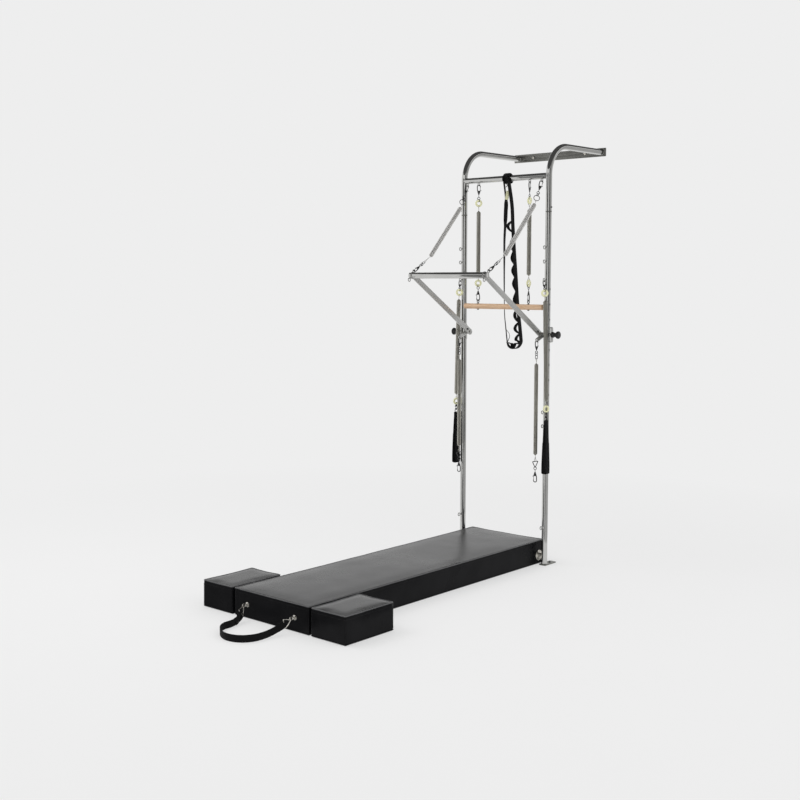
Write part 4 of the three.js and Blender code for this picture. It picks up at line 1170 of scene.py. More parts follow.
    def gather(self, piece: Piece) -> None:
        """Draws the sides in between the corners and puckers the cover along its welts."""
        (fine, pucker), (coarse, ripple), (depth, fade) = self.pucker, self.ripple, self.pucker_fade
        for vert in piece.data.vertices:
            u, v = self.share(vert.co)
            z = vert.co.z / self.height
            belt = sin(pi * min(max(z, 0), 1))
            if vert.co.z > self.floor_band:
                vert.co.x -= math.copysign(self.tuck * max(0.0, 1 - v * v) * belt * abs(u) ** 8, u)
                vert.co.y -= math.copysign(self.tuck * max(0.0, 1 - u * u) * belt * abs(v) ** 8, v)
                near = math.exp(-abs(vert.co.z - (self.height - depth)) / fade)
                rise = noise.noise(vert.co * fine) * pucker * near + noise.noise(vert.co * coarse) * ripple
                out = Vector((u * abs(u) ** 6, v * abs(v) ** 6, 0.6 if z > 0.9 else 0))
                vert.co += out * rise

    def hollow(self, piece: Piece) -> None:
        """Cuts the recess for the base board and the way for the foot tube."""
        x, y = self.centre
        w, l = self.width / 2 - self.board_inset, self.length / 2 - self.board_inset
        form = Form()
        form.block((x - w, y - l, -0.03), (x + w, y + l, self.board_thickness), 0.0004)
        if self.tube_way:
            tube_y, tube_z, radius = self.tube_way
            form.bar((x - self.width, tube_y, tube_z), (x + self.width, tube_y, tube_z), radius, sides=40)
        cutter = form.build("cutter", [])
        cut = piece.modifiers.new("hollow", "BOOLEAN")
        cut.operation = "DIFFERENCE"
        cut.solver = "EXACT"
        cut.use_self = True
        cut.object = cutter
        settle(piece)
        bpy.data.objects.remove(cutter)

    def around(self, reach: float, z: float, corner: float, step: float = 0.012) -> list[Vector]:
        """A rounded rectangle round the cushion.

        Args:
            reach: How far outside the sides it runs.
            z: Its height.
            corner: The radius of its corners.
            step: The distance from point to point.

        Returns:
            The closed route.
        """
        x, y = self.centre
        w, l = self.width / 2 + reach - corner, self.length / 2 + reach - corner
        points: list[Vector] = []
        for sx, sy, start in ((1, 1, 0), (-1, 1, 90), (-1, -1, 180), (1, -1, 270)):
            centre = (x + sx * w, y + sy * l, z)
            points += arc(centre, corner, start, start + 90, 6, X, Y)
        return even_route(points, step, closed=True)

    def onto(self, tree: BVHTree, route: Route, lift: float) -> list[Vector]:
        """Lays a route onto the cover, lifted off it by a little."""
        laid = []
        for point in route:
            place, normal, _, _ = tree.find_nearest(point)
            laid.append(place + normal * lift)
        return laid

    def make(self, shop: Workshop) -> None:
        """Builds the cover, its welts and its stitches."""
        piece = self.cover()
        self.inflate(piece)
        self.gather(piece)
        tree = BVHTree.FromObject(piece, bpy.context.evaluated_depsgraph_get())
        self.hollow(piece)
        piece.data.materials.clear()
        piece.data.materials.append(shop.finishes.vinyl)
        smooth_faces(piece.data, radians(50))
        fit(piece, self.body, Slot.VINYL, self.node)
        self.sew(shop, tree)

    def sew(self, shop: Workshop, tree: BVHTree) -> None:
        """Adds the welts, the corner seams and the stitches."""
        stem = self.node.replace("_cushion", "")
        top = self.around(0.003, self.height + 0.003, 0.012, 0.008)
        low = self.around(0.004, 0.006, 0.012, 0.008)
        upper_welt = self.onto(tree, top, self.welt * 0.35)
        lower_welt = self.onto(tree, low, self.welt * 0.2)
        form = Form()
        # The upper welt takes the lighter vinyl, a painted highlight along the top edge; the lower welt keeps the plain
        # vinyl.
        form.sweep(upper_welt, circle(self.welt, 10), closed=True, mark=1)
        form.sweep(lower_welt, circle(self.welt * 0.8, 10), closed=True)
        for u in (-1, 1):
            for v in (-1, 1):
                x = self.centre[0] + u * (self.width / 2 + 0.01)
                y = self.centre[1] + v * (self.length / 2 + 0.01)
                seam = [Vector((x, y, self.seam_start + i * self.seam_step)) for i in range(self.seam_rings)]
                form.sweep(self.onto(tree, seam, 0.0002), circle(0.0012, 8))
        form.fit(f"{stem}_welts", [shop.finishes.vinyl, shop.finishes.piping], self.body, Slot.VINYL)
        on_top = self.onto(tree, self.around(-0.009, self.height + 0.02, 0.012), 0.0002)
        below = self.onto(tree, self.around(0.02, self.height - 0.018, 0.02), 0.0002)
        shop.stitches(f"{stem}_stitches", [on_top, below], self.body, closed=True)


@dataclass
class Mat:
    """The raised mat, its two side boxes and what is screwed into its near end."""

    length: float = 1.93
    box_width: float = 0.2252
    box_length: float = 0.331
    box_x: float = 0.393
    box_y: float = -0.8015
    tube_radius: float = 0.0153

    def make(self, shop: Workshop) -> None:
        """Builds the cushions and dresses their boards."""
        way = (PLAN.plane_y, PLAN.foot_tube_z, self.tube_radius)
        Cushion("mat_cushion", "frame", (0, 0), PLAN.mat_width, self.length, voxel=0.0125, tube_way=way).make(shop)
        for side in Side:
            centre, size = (side.value * self.box_x, self.box_y), (self.box_width, self.box_length)
            name = f"{side.word}_box"
            Cushion(f"{name}_cushion", name, centre, *size, voxel=0.0085, panel=0.006, swell=0.0042).make(shop)
        for name in ("mat_base_board", "left_box_base_board", "right_box_base_board"):
            dress_node(name, shop.finishes.plywood)
        for side in Side:
            self.eye_bolt(shop, side)

    def eye_bolt(self, shop: Workshop, side: Side) -> None:
        """One eye bolt with a domed washer."""
        x, (_, y, z) = side.value * PLAN.mat_eye[0], PLAN.mat_eye
        face = -self.length / 2
        form = Form()
        form.bar((x, face + 0.02, z), (x, y + PLAN.eye_radius - 0.001, z), 0.0035)
        washer = [(0.0038, -0.003), (0.0125, -0.003), (0.013, -0.0015)]
        washer += [(0.0125, 0.001), (0.009, 0.0028), (0.0038, 0.0034)]
        form.lathe(washer, (x, face, z), (0, -1, 0), 40, closed=True)
        form.ring((x, y, z), X, PLAN.eye_radius, PLAN.eye_wire, steps=36)
        collar = [(0.0035, 0), (0.0052, 0.001), (0.0048, 0.003), (0.0034, 0.0042)]
        form.lathe(collar, (x, y + 0.0125, z), (0, -1, 0), 24)
        form.fit(f"{side.word}_mat_eye", [shop.finishes.bright], "frame", Slot.BRIGHT, f"{side.word}_mat_eyebolt")


# The tube frame


def add_eye(form: Form, start: Point, way: Point, reach: float) -> None:
    """Adds a welded eye: a shank, a weld bead at its foot and a ring whose hole faces sideways.

    Args:
        form: The form that takes it.
        start: A point on the tube's axis.
        way: The way that the eye stands out.
        reach: From the tube's axis to the ring's centre.
    """
    shank, inset = 0.0035, PLAN.tube_radius - 0.001
    ahead = Vector(way).normalized()
    foot = Vector(start) + ahead * inset
    centre = Vector(start) + ahead * reach
    form.bar(foot, centre - ahead * (PLAN.eye_radius - 0.001), shank, sides=16)
    bead = [(shank * 1.75, 0.0), (shank * 1.6, 0.0014), (shank * 1.25, 0.0026), (shank * 0.9, 0.0034)]
    form.lathe(bead, foot + ahead * 0.0004, ahead, 20)
    form.ring(centre, X, PLAN.eye_radius, PLAN.eye_wire, steps=32)


@dataclass
class TubeFrame:
    """Uprights, top bends, crossbar, wall plate and feet."""

    bend_radius: float = 0.17
    hole_pitch: float = 0.087
    hole_count: int = 8
    top_hole_z: float = 1.612
    hole_radius: float = 0.005
    plate_half: float = 0.335
    plate_height: float = 0.05
    plate_thickness: float = 0.008
    plate_hole_x: float = 0.19
    plate_hole: float = 0.0045
    plate_corner: float = 0.003
    foot_radius: float = 0.015
    collar_radius: float = 0.031
    foot_plate: Triple = (0.046, 0.116, 0.006)
    foot_front: float = 0.024
    foot_corner: float = 0.006
    foot_hole: float = 0.004
    foot_gap: float = 0.0063
    crossbar_eye_reach: float = 0.03
    crossbar_eye_lean: float = 35

    def make(self, shop: Workshop) -> None:
        """Builds the whole frame."""
        for side in Side:
            self.upright(shop, side)
            self.top_bend(shop, side)
            self.foot(shop, side)
        self.crossbar(shop)
        self.wall_plate(shop)
        self.foot_tube(shop)

    def upright(self, shop: Workshop, side: Side) -> None:
        """One upright with its eyes, its row of adjustment holes and the ground edge at the seam."""
        x = side.value * PLAN.upright_x
        y = PLAN.plane_y
        outer, inner = PLAN.tube_radius, PLAN.tube_radius - PLAN.tube_wall
        form = Form()
        low, top = self.foot_gap, PLAN.seam_z
        profile = [(outer - 0.0006, low), (outer, low + 0.0006), (outer, top - 0.0008)]
        profile += [(outer - 0.0007, top), (inner, top), (inner, low)]
        form.lathe(profile, (x, y, 0), Z, 56, closed=True)
        tube = form.build(f"{side.word}_post", [shop.finishes.tube])
        drill = Form()
        for i in range(self.hole_count):
            z = self.top_hole_z - i * self.hole_pitch
            drill.bar((x, y, z), (x + side.value * 0.03, y, z), self.hole_radius, sides=28)
        cutter = drill.build("cutter", [])
        cut = tube.modifiers.new("holes", "BOOLEAN")
        cut.operation, cut.solver, cut.object = "DIFFERENCE", "EXACT", cutter
        mesh = evaluated_mesh(tube)
        bpy.data.objects.remove(tube)
        bpy.data.objects.remove(cutter)
        whole = Form()
        whole.add_mesh(mesh)
        for z in PLAN.eye_heights:
            add_eye(whole, (x, y, z), (0, -1, 0), PLAN.eye_reach)
        bead = [(outer + 0.0022, low), (outer + 0.0016, 0.0082), (outer - 0.0002, 0.0098), (outer - 0.001, low)]
        whole.lathe(bead, (x, y, 0), Z, 48, closed=True)
        whole.fit(f"{side.word}_post", [shop.finishes.tube], "frame", Slot.FRAME, f"{side.word}_upright")

    def bend_route(self, x: float, start: float, end: float) -> list[Vector]:
        """The centre line of a top bend from a height to a depth."""
        y = PLAN.plane_y
        route = even_route([Vector((x, y, start)), Vector((x, y, PLAN.top_run_z - self.bend_radius))], 0.05)
        centre = (x, y + self.bend_radius, PLAN.top_run_z - self.bend_radius)
        route += arc(centre, self.bend_radius, 180, 90, 26, Y, Z)[1:]
        last = Vector((x, y + self.bend_radius, PLAN.top_run_z))
        return route + even_route([last, Vector((x, end, PLAN.top_run_z))], 0.06)[1:]

    def top_bend(self, shop: Workshop, side: Side) -> None:
        """One top bend, its sleeve seam, its set screw and the weld at the wall plate."""
        x = side.value * PLAN.upright_x
        face = PLAN.wall_y - self.plate_thickness - 0.0003
        form = Form()
        route = self.bend_route(x, PLAN.seam_z + 0.0006, face)
        form.tube(route, PLAN.tube_radius, PLAN.tube_radius - PLAN.tube_wall, 56)
        bead = [(0.0171, 0.0006), (0.0171, -0.0020), (0.0180, -0.0015), (0.0189, -0.0005), (0.0192, 0.0006)]
        form.lathe(bead, (x, face, PLAN.top_run_z), Y, 48, closed=True)
        seam = [(0.0170, -0.003), (0.0179, -0.0028), (0.0181, 0), (0.0179, 0.0028), (0.0170, 0.003)]
        form.lathe(seam, (x, PLAN.plane_y, PLAN.seam_z + 0.0036), Z, 56, mark=1, closed=True)
        finishes = [shop.finishes.tube, shop.finishes.dark]
        form.fit(f"{side.word}_bend", finishes, "frame", Slot.FRAME, f"{side.word}_top_bend")
        out = side.value * 0.0008
        points = [(x + side.value * PLAN.tube_radius + out, PLAN.plane_y, PLAN.seam_z + 0.028)]
        shop.screws(f"{side.word}_set_screw", points, (side.value, 0, 0), 0.0046, 0.0044, "frame")

    def crossbar(self, shop: Workshop) -> None:
        """The crossbar with a weld bead at each end and its four eyes."""
        y, z = PLAN.plane_y, PLAN.crossbar_z
        radius = PLAN.tube_radius
        form = Form()
        end = PLAN.upright_x - 0.004
        form.bar((-end, y, z), (end, y, z), radius, sides=56)
        for side in Side:
            route = []
            for i in range(48):
                turn = 2 * pi * i / 48
                near = PLAN.upright_x - radius * abs(cos(turn)) - 0.0006
                dy, dz = (radius + 0.0004) * sin(turn), (radius + 0.0004) * cos(turn)
                route.append(Vector((side.value * near, y + dy, z + dz)))
            form.sweep(route, circle(0.0013, 8), closed=True)
        lean = radians(self.crossbar_eye_lean)
        way = (0, -sin(lean), -cos(lean))
        for x in (-PLAN.outer_eye_x, -PLAN.inner_eye_x, PLAN.inner_eye_x, PLAN.outer_eye_x):
            add_eye(form, (x, y, z), way, self.crossbar_eye_reach)
        form.fit("cross_tube", [shop.finishes.tube], "frame", Slot.FRAME, "crossbar")

    def wall_plate(self, shop: Workshop) -> None:
        """The plate at the wall with its two screws."""
        half, high, thick = self.plate_half, self.plate_height / 2, self.plate_thickness
        holes = [circle(self.plate_hole, 24, x) for x in (-self.plate_hole_x, self.plate_hole_x)]
        outline = rounded_box(0, 0, half, high, self.plate_corner, 3)
        form = Form()
        place = Matrix.Translation((0, PLAN.wall_y - thick / 2, PLAN.top_run_z))
        form.plate(outline, holes, thick, 0.0008, place @ Matrix.Rotation(radians(90), 4, "X"))
        form.fit("plate", [shop.finishes.dark], "frame", Slot.DARK, "wall_plate")
        points = [(sx * self.plate_hole_x, PLAN.wall_y - thick - 0.0016, PLAN.top_run_z) for sx in (-1, 1)]
        shop.screws("plate_screws", points, (0, -1, 0), 0.0092, 0.0042, "frame", shop.finishes.bright)

    def foot_tube(self, shop: Workshop) -> None:
        """The tube through the mat, between the uprights."""
        y, z = PLAN.plane_y, PLAN.foot_tube_z
        form = Form()
        end = PLAN.upright_x - 0.006
        form.bar((-end, y, z), (end, y, z), self.foot_radius, sides=48)
        for side in Side:
            route = []
            for i in range(48):
                turn = 2 * pi * i / 48
                dy, dz = (self.foot_radius + 0.0003) * sin(turn), (self.foot_radius + 0.0003) * cos(turn)
                near = PLAN.upright_x - math.sqrt(PLAN.tube_radius ** 2 - dy ** 2) - 0.0004
                route.append(Vector((side.value * near, y + dy, z + dz)))
            form.sweep(route, circle(0.0014, 8), closed=True)
        form.fit("through_tube", [shop.finishes.bright], "frame", Slot.BRIGHT, "foot_tube")

    def foot(self, shop: Workshop, side: Side) -> None:
        """A foot plate with its screw, and the collar on the side of the mat."""
        x = side.value * PLAN.upright_x
        wide, long, thick = self.foot_plate
        y = PLAN.plane_y - self.foot_front
        outline = rounded_box(x, y + long / 2, wide / 2, long / 2, self.foot_corner, 4)
        form = Form()
        hole_y = PLAN.plane_y + (long - self.foot_front + PLAN.tube_radius) / 2
        hole = circle(self.foot_hole, 20, x, hole_y)
        form.plate(outline, [hole], thick, 0.0006, Matrix.Translation((0, 0, thick / 2)))
        form.fit(f"{side.word}_foot", [shop.finishes.dark], "frame", Slot.DARK, f"{side.word}_foot_plate")
        shop.screws(f"{side.word}_foot_screw", [(x, hole_y, thick + 0.0017)], Z, 0.0075, 0.0042, "frame")
        rim, bore = self.collar_radius, self.foot_radius + 0.0003
        profile = [(bore, 0), (rim - 0.0005, 0), (rim, 0.0007), (rim - 0.0002, 0.0018), (rim - 0.003, 0.0034)]
        profile += [(rim - 0.009, 0.0044), (bore + 0.0042, 0.0049), (bore + 0.0036, 0.0058), (bore + 0.0032, 0.0078)]
        ring = Form()
        start = (side.value * (PLAN.mat_width / 2 + 0.0003), PLAN.plane_y, PLAN.foot_tube_z)
        ring.lathe([*profile, (bore, 0.008)], start, (side.value, 0, 0), 56, closed=True)
        ring.fit(f"{side.word}_collar", [shop.finishes.bright], "frame", Slot.BRIGHT, f"{side.word}_mat_collar")


# Carriages and knobs


@dataclass
class Carriage:
    """The sliding sleeve on an upright with its pivot, lug, strap bar and plunger housing."""

    side: Side
    height: float = 0.088
    sleeve_radius: float = 0.0205
    bore_radius: float = 0.018
    lug_thickness: float = 0.005
    lug_tip: float = 0.0115
    lug_hole: float = 0.0065
    boss_radius: float = 0.013
    boss_start: float = 0.286
    bar_near: float = 0.3245
    bar_bend: float = 0.007
    bar_out: float = 0.3375
    bar_width: float = 0.02
    bar_thickness: float = 0.003
    housing_radius: float = 0.01
    housing_end: float = 0.3405
    pin_end: float = 0.2533
    pin_radius: float = 0.0056
    plunger: Triple = (0.3205, 0.342, 0.0047)
    knob_start: float = 0.3408

    def lug(self, form: Form) -> None:
        """The tapered plate from the pivot boss to the hole that the short spring hangs from."""
        rim, boss = self.lug_tip, self.boss_radius
        x, reach, drop = PLAN.lug
        length = math.hypot(reach, drop)
        lean = math.degrees(math.asin((boss - rim) / length))
        outline: Outline = []
        for cx, radius, start, end in ((0, rim, 90 + lean, 270 - lean), (length, boss, -90 - lean, 90 + lean)):
            for i in range(15):
                turn = radians(start + (end - start) * i / 14)
                outline.append((cx + radius * cos(turn), radius * sin(turn)))
        foot = (self.side.value * x, PLAN.plane_y - reach, PLAN.pivot_z - drop)
        axes = Matrix(((0, 0, 1, 0), (1, 0, 0, 0), (0, 1, 0, 0), (0, 0, 0, 1)))
        lift = Matrix.Rotation(math.atan2(drop, reach), 4, "Z")
        matrix = Matrix.Translation(foot) @ axes @ lift
        form.plate(outline, [circle(self.lug_hole, 24)], self.lug_thickness, 0.0007, matrix, 1)

    def strap_bar(self, form: Form) -> None:
        """The bent bar outside the sleeve, one strip with round bends."""
        s = self.side.value
        near, out, bend = s * self.bar_near, self.bar_out + self.bar_thickness / 2, self.bar_bend
        low = PLAN.pivot_z - self.height / 2 + self.bar_thickness / 2
        high = PLAN.pivot_z + self.height / 2 - self.bar_thickness / 2
        y = PLAN.plane_y
        route = [Vector((near, y, high))]
        route += arc((s * (out - bend), y, high - bend), bend, 90, 0, 8, (s, 0, 0), Z)
        route += arc((s * (out - bend), y, low + bend), bend, 0, -90, 8, (s, 0, 0), Z)
        route.append(Vector((near, y, low)))
        form.sweep(route, band(self.bar_width, self.bar_thickness, 0.5), across=Y, mark=1)

    def make(self, shop: Workshop) -> None:
        """Builds the carriage and its knob."""
        s, y, z = self.side.value, PLAN.plane_y, PLAN.pivot_z
        x = s * PLAN.upright_x
        form = Form()
        low, high = z - self.height / 2, z + self.height / 2
        outer, bore = self.sleeve_radius, self.bore_radius
        half = [(bore, 0.0005), (bore + 0.0006, 0), (outer - 0.0008, 0), (outer, 0.001)]
        profile = [(r, low + h) for r, h in half] + [(r, high - h) for r, h in reversed(half)]
        form.lathe(profile, (x, y, 0), Z, 56, closed=True)
        self.lug(form)
        self.strap_bar(form)
        washer = PLAN.arm_x - PLAN.arm_thickness / 2 - 0.0003
        for start, end, radius, edge, sides in (
            (self.boss_start, PLAN.arm_x + PLAN.arm_thickness / 2 + 0.0003, self.boss_radius, 0.001, 40),
            (self.boss_start, self.pin_end, self.pin_radius, 0.0006, 24),
            (washer, washer - 0.0014, 0.0098, 0.0003, 36),
            (washer - 0.0014, washer - 0.004, 0.0088, 0.0006, 6),
            (self.bar_near, self.housing_end, self.housing_radius, 0.0008, 36),
        ):
            form.bar((s * start, y, z), (s * end, y, z), radius, edge, sides)
        finishes = [shop.finishes.tube, shop.finishes.brushed]
        form.fit(f"{self.side.word}_slider", finishes, "frame", Slot.FRAME, f"{self.side.word}_carriage")
        self.knob(shop)

    def knob(self, shop: Workshop) -> None:
        """The pull knob: a turned bulb on its plunger."""
        s, y, z = self.side.value, PLAN.plane_y, PLAN.pivot_z
        start, (near, far, radius) = (s * self.knob_start, y, z), self.plunger
        bulb = [(0, 0), (0.0158, 0), (0.0171, 0.0008), (0.0172, 0.0052), (0.0166, 0.0078), (0.0142, 0.0124)]
        bulb += [(0.0124, 0.0174), (0.0124, 0.0214), (0.0136, 0.0256), (0.0172, 0.0306), (0.0204, 0.0345)]
        bulb += [(0.0217, 0.0378), (0.022, 0.0404), (0.0214, 0.0436), (0.0192, 0.0462), (0.015, 0.0475)]
        bulb += [(0.006, 0.048), (0, 0.048)]
        form = Form()
        form.lathe(bulb, start, (s, 0, 0), 48)
        form.bar((s * near, y, z), (s * far, y, z), radius, 0.0008, 28, mark=1)
        word, finishes = self.side.word, [shop.finishes.plastic, shop.finishes.bright]
        form.fit(f"{word}_grip_knob", finishes, f"{word}_knob", Slot.PLASTIC, f"{word}_pull_knob")


# Bars


@dataclass
class PushThrough:
    """The push-through bar and its two flat arms."""

    half: float = 0.277
    radius: float = 0.0175
    eye_angles: Pair = (PLAN.push_eye_angle, 233)
    arm_length: float = 0.631
    arm_width: float = 0.035
    pivot_hole: float = 0.006
    bolt_along: float = 0.034

    def make(self, shop: Workshop) -> None:
        """Builds the bar and the arms."""
        y, z = PLAN.push_bar
        form = Form()
        inner = self.half - 0.0035
        form.bar((-inner, y, z), (inner, y, z), self.radius, 0.0008, 56)
        cap = [(0, 0), (0.0169, 0), (0.0175, 0.0006), (0.0174, 0.0018), (0.0155, 0.003), (0.01, 0.0035), (0, 0.0036)]
        for side in Side:
            form.lathe(cap, (side.value * (inner - 0.0002), y, z), (side.value, 0, 0), 48)
            for angle in self.eye_angles:
                turn = radians(angle)
                way = (0, cos(turn), sin(turn))
                add_eye(form, (side.value * PLAN.outer_eye_x, y, z), way, PLAN.push_eye_reach)
        form.fit("through_bar", [shop.finishes.tube], "push_through", Slot.FRAME, "push_bar")
        for side in Side:
            self.arm(shop, side)

    def arm(self, shop: Workshop, side: Side) -> None:
        """One flat arm with its weld to the bar and its bolt."""
        half = self.arm_width / 2
        turns = [radians(90 + 9 * i) for i in range(21)]
        end = self.arm_length - 0.004
        outline = [(half * cos(t), half * sin(t)) for t in turns]
        outline += [(end, -half + 0.002), (end, half - 0.002)]
        pivot = circle(self.pivot_hole, 28)
        form = Form()
        lift = radians(PLAN.arm_lift)
        place = Matrix.Translation((side.value * PLAN.arm_x, PLAN.plane_y, PLAN.pivot_z))
        axes = Matrix(((0, 0, 1, 0), (-1, 0, 0, 0), (0, 1, 0, 0), (0, 0, 0, 1)))
        form.plate(outline, [pivot], PLAN.arm_thickness, 0.0007, place @ axes @ Matrix.Rotation(lift, 4, "Z"))
        y, z = PLAN.push_bar
        for face in (-1, 1):
            x = side.value * PLAN.arm_x + face * PLAN.arm_thickness / 2
            bead = [(0.0172, -0.0008), (0.0205, -0.0008), (0.0198, 0.0010), (0.0182, 0.0022), (0.0172, 0.0026)]
            form.lathe(bead, (x, y, z), (face, 0, 0), 48, closed=True)
        form.fit(f"{side.word}_flat_arm", [shop.finishes.brushed], "push_through", Slot.BRIGHT, f"{side.word}_arm")
        out, along = PLAN.arm_thickness / 2 + 0.0016, self.bolt_along
        y, z = PLAN.plane_y - along * cos(lift), PLAN.pivot_z + along * sin(lift)
        for face, word in ((-1, "inner"), (1, "outer")):
            name, point = f"{side.word}_{word}_arm_bolt", (side.value * (PLAN.arm_x + face * out), y, z)
            shop.screws(name, [point], (side.value * face, 0, 0), 0.0062, 0.0034, "push_through")


@dataclass
class RollDown:
    """The wooden roll-down bar with its eye bolts."""

    half: float = 0.284
    y: float = PLAN.crossbar_eye[0]
    z: float = 1.50783
    eye_z: float = 1.53783

    def make(self, shop: Workshop) -> None:
        """Builds the bar and its bolts."""
        form = Form()
        profile = [(0, 0), (0.0118, 0), (0.0138, 0.0006), (0.0153, 0.0018), (0.016, 0.0038)]
        profile += [(r, 2 * self.half - h) for r, h in reversed(profile)]
        form.lathe(profile, (-self.half, self.y, self.z), X, 56)
        form.fit("wooden_bar", [shop.finishes.beech], "roll_down", Slot.BEECH, "roll_bar")
        for side in Side:
            self.eye_bolt(shop, side)

    def eye_bolt(self, shop: Workshop, side: Side) -> None:
        """One eye bolt with a washer above the bar, and a washer and a nut below it."""
        x, y, z = side.value * PLAN.inner_eye_x, self.y, self.z
        bolt = Form()
        bolt.bar((x, y, z - 0.021), (x, y, self.eye_z - PLAN.eye_radius + 0.001), 0.003, sides=20)
        bolt.ring((x, y, self.eye_z), X, PLAN.eye_radius, PLAN.eye_wire, steps=32)
        for start, end, radius, edge, sides in (
            (0.0155, 0.0172, 0.0085, 0.0004, 32), (-0.0163, -0.0176, 0.0075, 0.0003, 32),
            (-0.0176, -0.0213, 0.0055, 0.0006, 6),
        ):
            bolt.bar((x, y, z + start), (x, y, z + end), radius, edge, sides)
        bolt.fit(f"{side.word}_bar_eye", [shop.finishes.zinc], "roll_down", Slot.BRIGHT, f"{side.word}_roll_eyebolt")


# Springs and hooks


class Link(Enum):
    """What hangs between a snap hook and a spring."""

    RING = "ring"
    BIG_RING = "big ring"
    OVAL = "oval"
    YELLOW = "yellow ring"
    TRIANGLE = "triangle"


# The radius to the middle of each link's wire, and the wire's own radius
LINK_SIZES: dict[Link, Pair] = {
    Link.RING: (0.0078, 0.0015),
    Link.BIG_RING: (0.0165, 0.0019),
    Link.OVAL: (0.0065, 0.0017),
    Link.YELLOW: (0.0156, 0.0060),
    Link.TRIANGLE: (0.0205, 0.0024),
}


@dataclass
class HookChain:
    """A snap hook and its links, from an eye to the end of a spring."""

    name: str
    node: str
    body: str
    start: Vector
    end: Vector
    links: tuple[Link, ...]
    scale: float = 0.8
    shank: float = 0.0
    turn: float = 0.0
    wire: float = 0.0025
    swivel_wire: float = 0.0018
    oval_length: float = 0.01

    @property
    def swivel_radius(self) -> float:
        """The radius of the swivel ring to the middle of its wire."""
        return 0.0074 * self.scale + 0.0004

    def frame_matrix(self) -> Matrix:
        """Turns the hook's own frame, which hangs along -Z, to its place."""
        down = (self.end - self.start).normalized()
        facing = Y
        back = (facing - down * facing.dot(down)).normalized()
        across = back.cross(-down)
        turn = Matrix((across, back, -down)).transposed().to_4x4()
        return Matrix.Translation(self.start) @ turn @ Matrix.Rotation(radians(self.turn), 4, "Z")

    def snap(self, form: Form) -> float:
        """Adds the snap hook at the origin, hanging down.

        Returns:
            How far below the eye the middle of its swivel ring lies.
        """
        s = self.scale
        bow = 0.0083 * s + 0.0008
        centre_z = -0.0044 - bow
        axes = (X, Z)
        route = arc((0, 0, centre_z), bow, -28, 0, 3, *axes)[:-1] + arc((0, 0, centre_z), bow, 0, 180, 14, *axes)
        top = centre_z - 0.024 * s
        places = ((1, centre_z - 0.008 * s), (0.96, centre_z - 0.018 * s), (0.7, top - 0.004 * s))
        route += [Vector((-bow * share, 0, z)) for share, z in places]
        form.sweep(
            route, circle(self.wire, 12), across=Y,
            sizes=lambda t: (0.72 + 0.5 * min(1, 2 * t), 0.85 + 0.25 * min(1, 2 * t)),
        )
        gate_x, lever_z = bow * 0.93, top + 0.001 * s
        form.bar((gate_x, 0, top - 0.006 * s), (gate_x, 0, centre_z - 0.0045 * s), 0.0014, sides=12)
        form.bar((gate_x, 0, lever_z), (gate_x + 0.0052 * s, 0, lever_z), 0.0015, sides=12)
        button = [(0, 0), (0.0016, 0.0002), (0.0022, 0.0012), (0.0018, 0.0022), (0, 0.0026)]
        form.lathe(button, (gate_x + 0.0042 * s, 0, lever_z), X, 14)
        barrel = [(0, 0), (0.0062, 0.0002), (0.0074, 0.0016), (0.0074, 0.0075 * s), (0.0062, 0.013 * s)]
        barrel += [(0.0042, 0.0175 * s), (0.0036, 0.019 * s), (0, 0.019 * s)]
        start = len(form.corners)
        form.lathe(barrel, (0, 0, top), (0, 0, -1), 24)
        for corner in form.corners[start:]:
            corner.x *= 1.16
            corner.y *= 0.72
        end = top - 0.019 * s
        collar = [(0, 0), (0.0028, 0), (0.0044, 0.0006), (0.0046, 0.0022), (0.0044, 0.0038)]
        collar += [(0.0026, 0.0046), (0, 0.0046)]
        form.lathe(collar, (0, 0, end + 0.0004), (0, 0, -1), 24)
        if self.shank:
            form.bar((0, 0, end - 0.004), (0, 0, end - 0.0052 - self.shank), 0.0017, sides=12)
        swivel_z = end - 0.0052 - self.shank - self.swivel_radius
        form.ring((0, 0, swivel_z), Y, self.swivel_radius, self.swivel_wire, sides=10)
        return -swivel_z

    def make(self, shop: Workshop) -> tuple[Vector, Vector]:
        """Builds the hook and its links.

        Returns:
            The middle of the last link and the way that its hole faces.
        """
        form = Form()
        depth = self.snap(form)
        radius, wire, flat = self.swivel_radius, self.swivel_wire, True
        last_axis = Y
        for link in self.links:
            next_radius, next_wire = LINK_SIZES[link]
            stretch = self.oval_length if link is Link.OVAL else 0.0
            depth += radius + next_radius - wire - next_wire - 0.0001 + stretch / 2
            axis = Vector((0.866, 0.5, 0)) if flat else Y
            mark = 1 if link is Link.YELLOW else 0
            if link is Link.TRIANGLE:
                self.triangle(form, depth, next_radius, next_wire, axis)
            else:
                form.ring((0, 0, -depth), axis, next_radius, next_wire, mark, 36, 12, stretch, Z)
            depth += stretch / 2
            radius, wire, flat, last_axis = next_radius, next_wire, not flat, axis
        matrix = self.frame_matrix()
        form.corners = [matrix @ c for c in form.corners]
        materials = [shop.finishes.zinc, shop.finishes.yellow]
        form.fit(self.name, materials, self.body, Slot.BRIGHT, self.node)
        middle = matrix @ Vector((0, 0, -depth))
        return middle, (matrix.to_3x3() @ last_axis).normalized()

    @staticmethod
    def triangle(form: Form, depth: float, radius: float, wire: float, axis: Vector) -> None:
        """Adds a three-cornered link with round corners."""
        side, up = axis.cross(Z) * radius, Vector((0, 0, radius))
        corners = [up, side - up * 0.8, -side - up * 0.8]
        route = []
        for i, corner in enumerate(corners):
            before, after = corners[i - 1], corners[(i + 1) % 3]
            route += [corner.lerp(before, 0.22), corner.lerp((before + after) / 2, 0.06), corner.lerp(after, 0.22)]
        route = [p - Vector((0, 0, depth)) for p in smooth_route(route, 0.0016, True)]
        form.sweep(route, circle(wire, 10), across=axis, closed=True)


